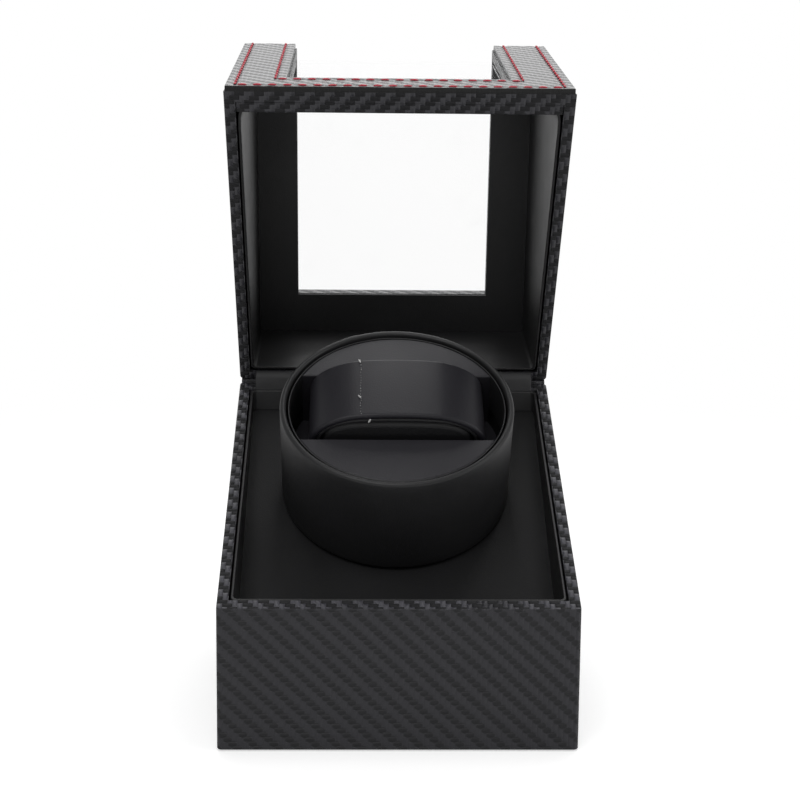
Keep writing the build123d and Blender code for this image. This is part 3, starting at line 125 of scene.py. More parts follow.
# ------------------------------------------------------------------------------ shader expressions
class Value:
    """A shader socket that takes part in Python expressions."""

    def __init__(self, tree: bpy.types.NodeTree, socket: bpy.types.NodeSocket) -> None:
        """Keep the socket and the tree it belongs to."""
        self.tree = tree
        self.socket = socket

    def _math(self, operation: str, *operands: object) -> "Value":
        """Add a Math node.

        Args:
            operation: the node's operation.
            operands: its inputs, in order, as values or numbers.

        Returns:
            The node's output.
        """
        node = self.tree.nodes.new("ShaderNodeMath")
        node.operation = operation
        for number, operand in enumerate(operands):
            if isinstance(operand, Value):
                self.tree.links.new(operand.socket, node.inputs[number])
            else:
                node.inputs[number].default_value = float(operand)
        return Value(self.tree, node.outputs[0])

    def __add__(self, other: object) -> "Value":
        """Sum."""
        return self._math("ADD", self, other)

    __radd__ = __add__

    def __sub__(self, other: object) -> "Value":
        """Difference."""
        return self._math("SUBTRACT", self, other)

    def __rsub__(self, other: object) -> "Value":
        """Difference, reflected."""
        return self._math("SUBTRACT", other, self)

    def __mul__(self, other: object) -> "Value":
        """Product."""
        return self._math("MULTIPLY", self, other)

    __rmul__ = __mul__

    def __truediv__(self, other: object) -> "Value":
        """Quotient."""
        return self._math("DIVIDE", self, other)

    def __rtruediv__(self, other: object) -> "Value":
        """Quotient, reflected."""
        return self._math("DIVIDE", other, self)

    def __pow__(self, other: object) -> "Value":
        """Power."""
        return self._math("POWER", self, other)

    def __mod__(self, other: object) -> "Value":
        """Remainder, never negative."""
        return self._math("FLOORED_MODULO", self, other)

    def __gt__(self, other: object) -> "Value":
        """1 where this is greater."""
        return self._math("GREATER_THAN", self, other)

    def __lt__(self, other: object) -> "Value":
        """1 where this is less."""
        return self._math("LESS_THAN", self, other)

    def __abs__(self) -> "Value":
        """Size without sign."""
        return self._math("ABSOLUTE", self)

    def whole(self) -> "Value":
        """Round down."""
        return self._math("FLOOR", self)

    def part(self) -> "Value":
        """What is left above the whole number below."""
        return self._math("FRACT", self)

    def wave(self) -> "Value":
        """Sine."""
        return self._math("SINE", self)

    def largest(self, other: object) -> "Value":
        """The larger of two."""
        return self._math("MAXIMUM", self, other)

    def ramp(self, low: float, high: float) -> "Value":
        """Rise smoothly from 0 to 1, or fall where low is the larger.

        Args:
            low: where the result is 0.
            high: where it is 1.

        Returns:
            The result, level past both.
        """
        node = self.tree.nodes.new("ShaderNodeMapRange")
        node.interpolation_type = "SMOOTHSTEP"
        self.tree.links.new(self.socket, node.inputs["Value"])
        rising = low < high
        node.inputs["From Min"].default_value = low if rising else high
        node.inputs["From Max"].default_value = high if rising else low
        node.inputs["To Min"].default_value = 0.0 if rising else 1.0
        node.inputs["To Max"].default_value = 1.0 if rising else 0.0
        return Value(self.tree, node.outputs["Result"])


class Shade:
    """One material and the nodes it is made of."""

    def __init__(self, name: str) -> None:
        """Start a material with one Principled shader.

        Args:
            name: the material's name.
        """
        self.material = bpy.data.materials.new(name)
        self.material.use_nodes = True
        self.tree = self.material.node_tree
        self.surface = self.tree.nodes["Principled BSDF"]

    def node(self, kind: str, settings: dict | None = None, **sockets: object) -> bpy.types.Node:
        """Add any node.

        Args:
            kind: the node's type.
            settings: properties of the node, set before its sockets.
            sockets: values or links of its sockets, with _ for a space in the name.

        Returns:
            The node.
        """
        made = self.tree.nodes.new(kind)
        for name, setting in (settings or {}).items():
            setattr(made, name, setting)
        for name, given in sockets.items():
            self.plug(made.inputs[name.replace("_", " ")], given)
        return made

    def plug(self, socket: bpy.types.NodeSocket, given: object) -> None:
        """Link a value to a socket, or write a constant on it.

        Args:
            socket: the socket.
            given: a value, another socket or a constant.
        """
        if isinstance(given, Value):
            self.tree.links.new(given.socket, socket)
        elif isinstance(given, bpy.types.NodeSocket):
            self.tree.links.new(given, socket)
        else:
            socket.default_value = given

    def value(self, socket: bpy.types.NodeSocket) -> Value:
        """Wrap a socket for use in expressions."""
        return Value(self.tree, socket)

    def place(self, turn: float = 0.0) -> tuple[bpy.types.NodeSocket, Value, Value, Value]:
        """Read the place on the piece, in millimetres, squared up with the shut lid.

        Args:
            turn: how far the piece stands turned about X, in radians.

        Returns:
            The vector socket and its three parts.
        """
        where = self.node("ShaderNodeTexCoord").outputs["Object"]
        mapping = self.node("ShaderNodeMapping", {"vector_type": "POINT"}, Vector=where)
        mapping.inputs["Scale"].default_value = (1 / MM, 1 / MM, 1 / MM)
        mapping.inputs["Rotation"].default_value = (turn, 0, 0)
        parts = self.node("ShaderNodeSeparateXYZ", Vector=mapping.outputs[0])
        x, y, z = (self.value(parts.outputs[i]) for i in range(3))
        return mapping.outputs[0], x, y, z

    def facing(self, turn: float = 0.0) -> tuple[Value, Value, Value]:
        """Read how strongly the surface faces each axis, turned as in place.

        Args:
            turn: how far the piece stands turned about X, in radians.

        Returns:
            The three sizes of the normal.
        """
        normal = self.node("ShaderNodeTexCoord").outputs["Normal"]
        mapping = self.node("ShaderNodeMapping", {"vector_type": "VECTOR"}, Vector=normal)
        mapping.inputs["Rotation"].default_value = (turn, 0, 0)
        parts = self.node("ShaderNodeSeparateXYZ", Vector=mapping.outputs[0])
        return tuple(abs(self.value(parts.outputs[i])) for i in range(3))

    def speckle(self, where: object, scale: float, detail: float = 2.0, rough: float = 0.5) -> Value:
        """Noise over the surface.

        Args:
            where: the place to read.
            scale: how fine it is, in cells per millimetre.
            detail: how many finer layers it has.
            rough: how strong these are.

        Returns:
            The noise, about 0.5.
        """
        made = self.node("ShaderNodeTexNoise", Vector=where, Scale=scale, Detail=detail, Roughness=rough)
        return self.value(made.outputs[0])

    def blend(self, share: object, first: object, second: object) -> bpy.types.NodeSocket:
        """Mix two colours.

        Args:
            share: how much of the second.
            first: one colour, red, green and blue, or a socket.
            second: the other colour, or a socket.

        Returns:
            The colour.
        """
        made = self.node("ShaderNodeMix", {"data_type": "RGBA"})
        self.plug(made.inputs[0], share)
        for socket, colour in ((made.inputs[6], first), (made.inputs[7], second)):
            if isinstance(colour, tuple):
                socket.default_value = (*colour, 1)
            else:
                self.plug(socket, colour)
        return made.outputs[2]

    def relief(self, height: Value, depth: float) -> bpy.types.NodeSocket:
        """Raise the surface by a height map.

        Args:
            height: the map, from 0 to 1.
            depth: what 1 stands for, in millimetres.

        Returns:
            The normal.
        """
        bump = self.node("ShaderNodeBump", Height=height, Strength=1.0, Distance=depth * MM)
        return bump.outputs[0]

    def finish(self, **sockets: object) -> bpy.types.Material:
        """Set the Principled shader's sockets and hand over the material.

        Args:
            sockets: values or links of its sockets, with _ for a space in the name.

        Returns:
            The material.
        """
        for name, given in sockets.items():
            self.plug(self.surface.inputs[name.replace("_", " ")], given)
        return self.material


# ------------------------------------------------------------------------------ finishes
@dataclass(frozen=True)
class TwillLeatherette:
    """Leatherette embossed with a two-and-two twill.

    Attributes:
        name: the material's name.
        light: colour of the upright floats.
        dark: colour of the level floats.
        repeat: how many yarns the weave takes to repeat.
        across: width of a yarn that stands upright, in mm.
        along: width of a yarn that lies level, in mm.
        depth: height of the relief, in mm.
        rough: roughness of the upright floats.
        rough_dark: roughness of the level floats.
        gloss: strength of its shine.
        oval_long: half the length of a level float's oval, in yarns.
        oval_tall: half its height, in yarns.
        rim_relief: how much more relief it has on the walls' rims.
        rim_glint: how much lighter its upright floats are painted there, in broad patches: a painted glint
            of the light from behind.
        foot: height below which the piece is painted near-black, in mm: its cut edge, with painted shade of
            the seam between it and the shell.
        cut_edge_and_seam_shade: colour of that band.
        foot_rough: its roughness.
        turn: how far the piece stands turned about X, in radians.
    """

    name: str
    light: tuple = (0.0265, 0.0262, 0.0308)
    dark: tuple = (0.0085, 0.0085, 0.01)
    repeat: float = 4.0
    across: float = 1.78
    along: float = 1.66
    depth: float = 0.26
    rough: float = 0.36
    rough_dark: float = 0.5
    gloss: float = 0.42
    oval_long: float = 0.84
    oval_tall: float = 0.7
    rim_relief: float = 1.6
    rim_glint: float = 2.6
    foot: float = -1000.0
    cut_edge_and_seam_shade: tuple = (0.002, 0.002, 0.0022)
    foot_rough: float = 0.8
    turn: float = 0.0

    def make(self) -> bpy.types.Material:
        """Build the material.

        Returns:
            The material.
        """
        s = Shade(self.name)
        where, x, y, z = s.place(self.turn)
        ax, ay, az = s.facing(self.turn)
        side = (ax > ay) * (ax > az)
        level = (1 - side) * (az > ay)
        u = (x + side * (y - x)) / self.across
        v = (z + level * (y - z)) / self.along
        wobble = (s.speckle(where, 0.05, 1.0) - 0.5) * 0.5
        u = u + wobble
        v = v - wobble
        step = (u.whole() + v.whole()) % self.repeat
        weft = step < self.repeat / 2 - 0.5
        fu = u.part()
        fv = v.part()
        run = weft * ((step + fu) / 2) + (1 - weft) * ((step - 2 + fv) / 2)
        beside = weft * fv + (1 - weft) * fu
        end = abs(run * 2 - 1)
        edge = abs(beside * 2 - 1)
        crown = (1 - end ** 4) * (1 - edge * edge * 0.85)
        rib = (beside * (6 * 2 * math.pi)).wave() * 0.04
        grain = s.speckle(where, 5.0, 3.0, 0.6)
        height = (crown + rib) * (1 + level * self.rim_relief) + grain * 0.12
        spots = [self.spot(u, v, row) for row in (-1, 0, 1)]
        oval = spots[0].largest(spots[1]).largest(spots[2])
        patch = oval * (1 - level) + weft * level
        # Painted glint, with random tone: this broad noise varies the twill's tone, and on level faces (the
        # walls' rims) it places broad patches where the upright floats are painted lighter, standing in for
        # glints of the light from behind.
        tone_and_glint = s.speckle(where, 0.03, 2.0)
        shade = (oval * 0.92 + tone_and_glint * 0.16 - 0.06) * (1 - level) + weft * level
        glint_colour = tuple(c * self.rim_glint for c in self.light)
        over = s.blend(tone_and_glint.ramp(0.35, 0.6) * level, self.light, glint_colour)
        colour = s.blend(shade, self.light, self.dark)
        colour = s.blend(level * (1 - weft), colour, over)
        # Painted shade: below the foot the piece turns near-black, for its cut edge together with the shade
        # of the seam between it and the shell.
        cut = z < self.foot
        colour = s.blend(cut, colour, self.cut_edge_and_seam_shade)
        rough = self.rough + patch * (self.rough_dark - self.rough) + (grain - 0.5) * 0.12
        rough = rough + level * (weft * 0.25 - (1 - weft) * 0.06)
        rough = rough * (1 - cut) + cut * self.foot_rough
        return s.finish(
            Base_Color=colour,
            Roughness=rough,
            Normal=s.relief(height, self.depth),
            Specular_IOR_Level=self.gloss,
        )

    def spot(self, u: Value, v: Value, row: int) -> Value:
        """Draw the dark ovals of one row of level floats.

        Args:
            u: the place across the yarns, in yarns.
            v: the place along them, in yarns.
            row: the row, counted from the one the place lies in.

        Returns:
            1 inside an oval, fading to 0 round it.
        """
        across = (u + v.whole() + row) % self.repeat - 1
        away = v.part() - (row + 0.5)
        reach = (across / self.oval_long) ** 2 + (away / self.oval_tall) ** 2
        return reach.ramp(1.3, 0.55)


@dataclass(frozen=True)
class SmoothLeatherette:
    """Plain leatherette with a fine grain.

    Attributes:
        name: the material's name.
        colour: its colour.
        rough: its mean roughness.
        depth: height of the grain, in mm.
        cells: how many grains there are per millimetre.
        sheen: strength of the soft light at its edges.
        gloss: strength of its shine.
    """

    name: str
    colour: tuple = (0.013, 0.013, 0.014)
    rough: float = 0.46
    depth: float = 0.03
    cells: float = 1.6
    sheen: float = 0.0
    gloss: float = 0.45

    def make(self) -> bpy.types.Material:
        """Build the material.

        Returns:
            The material.
        """
        s = Shade(self.name)
        where, *_ = s.place()
        cells = s.node("ShaderNodeTexVoronoi", {"feature": "F1"}, Vector=where, Scale=self.cells)
        pebble = s.value(cells.outputs["Distance"])
        fine = s.speckle(where, 6.0, 3.0, 0.6)
        broad = s.speckle(where, 0.04, 2.0)
        height = pebble.ramp(0.7, 0.1) * 0.6 + fine * 0.4
        dust = s.speckle(where, 1.1, 5.0, 0.75).ramp(0.72, 0.8)
        lighter = tuple(c * 1.9 + 0.004 for c in self.colour)
        colour = s.blend(broad * 0.5 + fine * 0.12 + dust * 0.15, self.colour, lighter)
        rough = self.rough + (broad - 0.5) * 0.16 + (fine - 0.5) * 0.1
        return s.finish(
            Base_Color=colour,
            Roughness=rough,
            Normal=s.relief(height, self.depth),
            Sheen_Weight=self.sheen,
            Sheen_Roughness=0.4,
            Specular_IOR_Level=self.gloss,
        )


@dataclass(frozen=True)
class Cloth:
    """Plain-woven cloth, and felt where the yarns are coarse.

    Attributes:
        name: the material's name.
        colour: its colour.
        pitch: distance between yarns, in mm.
        depth: height of the weave, in mm.
        sheen: strength of its fuzz.
    """

    name: str
    colour: tuple
    pitch: float = 0.45
    depth: float = 0.1
    sheen: float = 0.25

    def make(self) -> bpy.types.Material:
        """Build the material.

        Returns:
            The material.
        """
        s = Shade(self.name)
        where, x, y, z = s.place()
        ax, ay, az = s.facing()
        side = (ax > ay) * (ax > az)
        level = (1 - side) * (az > ay)
        u = (x + side * (y - x)) * (math.pi / self.pitch)
        v = (z + level * (y - z)) * (math.pi / self.pitch)
        weave = u.wave() * v.wave() * 0.5 + 0.5
        fuzz = s.speckle(where, 3.0, 3.0, 0.7)
        lighter = tuple(min(1.0, c * 1.6 + 0.01) for c in self.colour)
        # Painted shade: the weave's hollows are painted darker than its crossings, following its relief; the
        # fuzz varies the tone.
        colour = s.blend(weave * 0.5 + fuzz * 0.5, self.colour, lighter)
        return s.finish(
            Base_Color=colour,
            Roughness=0.85 + (fuzz - 0.5) * 0.15,
            Normal=s.relief(weave * 0.7 + fuzz * 0.3, self.depth),
            Sheen_Weight=self.sheen,
            Sheen_Roughness=0.5,
        )


@dataclass(frozen=True)
class Thread:
    """Twisted sewing thread.

    Attributes:
        name: the material's name.
        colour: its colour.
        turn_length: length of one turn of its strands, in mm.
    """

    name: str
    colour: tuple
    turn_length: float = 0.5

    def make(self) -> bpy.types.Material:
        """Build the material.

        Returns:
            The material.
        """
        s = Shade(self.name)
        where, x, y, z = s.place()
        twist = ((x + y * 0.8 + z * 0.7) * (2 * math.pi / self.turn_length)).wave() * 0.5 + 0.5
        fuzz = s.speckle(where, 8.0, 2.0)
        # Painted shade: the twist's grooves are painted darker, following its relief; the fuzz varies the
        # tone.
        deep = tuple(c * 0.45 for c in self.colour)
        colour = s.blend(twist * 0.6 + fuzz * 0.3, deep, self.colour)
        return s.finish(
            Base_Color=colour,
            Roughness=0.55 + fuzz * 0.15,
            Normal=s.relief(twist, 0.08),
            Sheen_Weight=0.3,
            Sheen_Roughness=0.4,
        )


@dataclass(frozen=True)
class Plastic:
    """Moulded plastic with a fine spark texture.

    Attributes:
        name: the material's name.
        colour: its colour.
        rough: its mean roughness.
        depth: height of the texture, in mm.
    """

    name: str
    colour: tuple
    rough: float = 0.45
    depth: float = 0.012

    def make(self) -> bpy.types.Material:
        """Build the material.

        Returns:
            The material.
        """
        s = Shade(self.name)
        where, *_ = s.place()
        fine = s.speckle(where, 7.0, 3.0, 0.7)
        broad = s.speckle(where, 0.08, 2.0)
        lighter = tuple(min(1.0, c * 1.35 + 0.003) for c in self.colour)
        return s.finish(
            Base_Color=s.blend(broad * 0.6 + fine * 0.2, self.colour, lighter),
            Roughness=self.rough + (fine - 0.5) * 0.1 + (broad - 0.5) * 0.12,
            Normal=s.relief(fine, self.depth),
        )


@dataclass(frozen=True)
class Metal:
    """Plated or turned metal.

    Attributes:
        name: the material's name.
        colour: its colour.
        rough: its mean roughness.
    """

    name: str
    colour: tuple
    rough: float = 0.3

    def make(self) -> bpy.types.Material:
        """Build the material.

        Returns:
            The material.
        """
        s = Shade(self.name)
        where, *_ = s.place()
        broad = s.speckle(where, 0.3, 3.0)
        fine = s.speckle(where, 9.0, 2.0)
        darker = tuple(c * 0.7 for c in self.colour)
        return s.finish(
            Base_Color=s.blend(broad * 0.7, self.colour, darker),
            Metallic=1.0,
            Roughness=self.rough + (broad - 0.5) * 0.2 + (fine - 0.5) * 0.08,
            Normal=s.relief(fine, 0.006),
        )


@dataclass(frozen=True)
class ClearSheet:
    """Clear acrylic sheet with faint smears.

    Attributes:
        name: the material's name.
        clear: how little of it shows, as alpha.
    """

    name: str
    clear: float = 0.05

    def make(self) -> bpy.types.Material:
        """Build the material.

        Returns:
            The material.
        """
        s = Shade(self.name)
        where, *_ = s.place()
        smear = s.speckle(where, 0.05, 4.0, 0.6)
        return s.finish(
            Base_Color=(0.93, 0.94, 0.95, 1),
            Roughness=0.04 + smear.ramp(0.45, 0.75) * 0.1,
            Alpha=self.clear + smear.ramp(0.55, 0.8) * 0.02,
            Specular_IOR_Level=0.5,
        )


@dataclass(frozen=True)
class FibreBoard:
    """Raw wood-fibre board.

    Attributes:
        name: the material's name.
        colour: its colour.
    """

    name: str
    colour: tuple

    def make(self) -> bpy.types.Material:
        """Build the material.

        Returns:
            The material.
        """
        s = Shade(self.name)
        where, *_ = s.place()
        fibres = s.speckle(where, 1.4, 5.0, 0.75)
        broad = s.speckle(where, 0.05, 2.0)
        darker = tuple(c * 0.6 for c in self.colour)
        return s.finish(
            Base_Color=s.blend(fibres * 0.8 + broad * 0.2, self.colour, darker),
            Roughness=0.8 + (fibres - 0.5) * 0.15,
            Normal=s.relief(fibres, 0.05),
        )


class Finish(Enum):
    """Every finish on the winder."""

    BASE_SHELL = TwillLeatherette("shell_twill")
    LID_SHELL = TwillLeatherette("lid_twill", rim_relief=0.5, rim_glint=1.25, turn=LID_TURN)
    FACING = TwillLeatherette(
        "facing_twill",
        light=(0.05, 0.049, 0.053),
        depth=0.24,
        rough=0.3,
        rough_dark=0.42,
        gloss=0.6,
        rim_relief=0.0,
        rim_glint=1.0,
        foot=FACING_FOOT,
        turn=LID_TURN,
    )
    LINING = SmoothLeatherette("lining_leatherette", colour=(0.0105, 0.0105, 0.011), rough=0.42, gloss=0.35)
    # Painted shade: the deck's leatherette is coloured darker than the same leatherette elsewhere, for the
    # shade deep in the tray.
    DECK = SmoothLeatherette("deck_leatherette_painted_shade", colour=(0.007, 0.007, 0.0075), rough=0.52, gloss=0.25)
    CUP = SmoothLeatherette("cup_leatherette", colour=(0.011, 0.011, 0.0117), rough=0.46, gloss=0.4)
    INSERT = SmoothLeatherette("insert_leatherette", colour=(0.0126, 0.012, 0.0152), rough=0.5)
    PILLOW = SmoothLeatherette(
        "pillow_leatherette",
        colour=(0.0088, 0.0083, 0.0112),
        rough=0.47,
        gloss=0.36,
    )
    BAND = SmoothLeatherette("band_leatherette", colour=(0.011, 0.011, 0.012), rough=0.5)
    STRIP = SmoothLeatherette("strip_cloth", colour=(0.02, 0.02, 0.021), rough=0.6, cells=2.4, depth=0.05)
    FELT = Cloth("black_felt", (0.012, 0.012, 0.012), pitch=1.1, depth=0.15, sheen=0.4)
    RED_THREAD = Thread("red_thread", (0.88, 0.06, 0.1))
    PALE_THREAD = Thread("pale_thread", (0.75, 0.75, 0.74))
    BLACK_PLASTIC = Plastic("black_plastic", (0.018, 0.018, 0.018))
    GLOSS_PLASTIC = Plastic("gloss_plastic", (0.012, 0.012, 0.012), rough=0.18, depth=0.003)
    NYLON = Plastic("nylon", (0.78, 0.76, 0.7), rough=0.4)
    CIRCUIT = Plastic("circuit_board", (0.02, 0.13, 0.06), rough=0.35, depth=0.02)
    STEEL = Metal("plated_steel", (0.62, 0.62, 0.64))
    BRASS = Metal("brass", (0.78, 0.58, 0.27), rough=0.28)
    PANE = ClearSheet("clear_acrylic", clear=0.025)
    BOARD = FibreBoard("fibre_board", (0.42, 0.31, 0.2))

    def material(self) -> bpy.types.Material:
        """The finish's material, made on first use."""
        return bpy.data.materials.get(self.value.name) or self.value.make()


# ------------------------------------------------------------------------------ making pieces
def piece(name: str, mesh: bmesh.types.BMesh, finish: Finish, smooth: float = 35.0) -> bpy.types.Object:
    """Turn a bmesh into an object of the scene.

    Args:
        name: the piece's name.
        mesh: its mesh, which is freed.
        finish: its finish.
        smooth: the sharpest fold, in degrees, that is shaded as a curve.

    Returns:
        The object.
    """
    data = bpy.data.meshes.new(name)
    mesh.to_mesh(data)
    mesh.free()
    made = bpy.data.objects.new(name, data)
    bpy.context.scene.collection.objects.link(made)
    data.materials.append(finish.material())
    shade(made, smooth)
    LOG.info("%s: %d faces, %s", name, len(data.polygons), finish.value.name)
    return made


def shade(made: bpy.types.Object, smooth: float) -> None:
    """Shade a mesh as curved up to an angle.

    Args:
        made: the object.
        smooth: the sharpest fold, in degrees, that is shaded as a curve.
    """
    made.data.shade_smooth()
    made.data.set_sharp_from_angle(angle=math.radians(smooth))


def settle(made: bpy.types.Object, body: Body, slot: str, *nodes: str) -> bpy.types.Object:
    """Hang a piece on the body it rides on, and hide the CAD nodes it stands for.

    Args:
        made: the piece.
        body: the body it rides on.
        slot: the record's material slot; not used.
        nodes: the CAD nodes it stands for.

    Returns:
        The piece.
    """
    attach(made, body.value)
    if nodes:
        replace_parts(made, *nodes)
    return made


def rounded(made: bpy.types.Object, width: float, segments: int = 3, angle: float = 40.0) -> None:
    """Round the sharp edges of a piece.

    Args:
        made: the piece.
        width: the rounding, in mm.
        segments: how many faces it takes.
        angle: the smallest fold that is rounded, in degrees.
    """
    bevel = made.modifiers.new("round_edges", "BEVEL")
    bevel.width = width * MM
    bevel.segments = segments
    bevel.limit_method = "ANGLE"
    bevel.angle_limit = math.radians(angle)
    bevel.harden_normals = False


def copy_of(node: str) -> bmesh.types.BMesh:
    """Take a clean copy of a CAD node's mesh.

    Args:
        node: the node's name.

    Returns:
        The mesh, merged, with its flat faces whole again.
    """
    mesh = bmesh.new()
    mesh.from_mesh(frame["nodes"][node].data)
    bmesh.ops.remove_doubles(mesh, verts=mesh.verts, dist=0.004 * MM)
    bmesh.ops.dissolve_limit(mesh, angle_limit=math.radians(0.5), verts=mesh.verts, edges=mesh.edges)
    bmesh.ops.recalc_face_normals(mesh, faces=mesh.faces)
    return mesh


def dress(node: str, finish: Finish) -> None:
    """Give a CAD node that stays its finish.

    Args:
        node: the node's name.
        finish: its finish.
    """
    made = frame["nodes"][node]
    made.data.materials.clear()
    made.data.materials.append(finish.material())
    LOG.info("%s: CAD node, %s", node, finish.value.name)


def opened(mesh: bmesh.types.BMesh) -> None:
    """Take a mesh from millimetres with the lid shut to metres with the lid open.

    Args:
        mesh: the mesh.
    """
    bmesh.ops.scale(mesh, vec=(MM, MM, MM), verts=mesh.verts)
    bmesh.ops.transform(mesh, matrix=OPEN_LID, verts=mesh.verts)


# ------------------------------------------------------------------------------ base
@dataclass
class Base:
    """The wedge-shaped base with its deck and the hardware that shows.

    Attributes:
        edge: rounding of the lining's edges, in mm.
        finishes: the finish of each node that stays.
    """

    edge: float = 0.3
    finishes: dict = field(
        default_factory=lambda: {
            "base_carcass": Finish.BASE_SHELL,
            "deck_panel": Finish.DECK,
            "base_felt": Finish.FELT,
            "base_floor": Finish.BOARD,
            "corner_blocks": Finish.BOARD,
            "deck_cleats": Finish.BOARD,
            "back_plate": Finish.BLACK_PLASTIC,
            "rotary_switch": Finish.BLACK_PLASTIC,
            "mode_knob": Finish.BLACK_PLASTIC,
            "switch_body": Finish.BLACK_PLASTIC,
            "power_rocker": Finish.GLOSS_PLASTIC,
            "power_socket": Finish.BLACK_PLASTIC,
            "socket_contact": Finish.BRASS,
            "gear_cover": Finish.BLACK_PLASTIC,
            "gear_case": Finish.BLACK_PLASTIC,
            "gearhead": Finish.STEEL,
            "motor_can": Finish.STEEL,
            "motor_shaft": Finish.STEEL,
            "motor_screws": Finish.STEEL,
            "motor_terminals": Finish.BRASS,
            "motor_pinion": Finish.BRASS,
            "idler_gear": Finish.NYLON,
            "idler_pin": Finish.STEEL,
            "upper_bush": Finish.BRASS,
            "lower_bush": Finish.BRASS,
            "case_screws": Finish.STEEL,
            "floor_screws": Finish.STEEL,
            "board_screws": Finish.STEEL,
            "plate_screws": Finish.STEEL,
            "hinge_base_leaves": Finish.STEEL,
            "hinge_base_brads": Finish.STEEL,
            "hinge_pins": Finish.STEEL,
            "control_board": Finish.CIRCUIT,
            "board_chips": Finish.GLOSS_PLASTIC,
            "board_plugs": Finish.NYLON,
        }
    )

    def build(self) -> None:
        """Dress the nodes that stay and make the lining."""
        for node, finish in self.finishes.items():
            dress(node, finish)
        self.lining()

    def lining(self) -> bpy.types.Object:
        """Make the card lining of the tray, with its cut edges rounded.

        Returns:
            The piece.
        """
        made = piece("tray_lining", copy_of("base_lining"), Finish.LINING)
        rounded(made, self.edge)
        return settle(made, Body.BASE, "smooth_wrap", "base_lining")


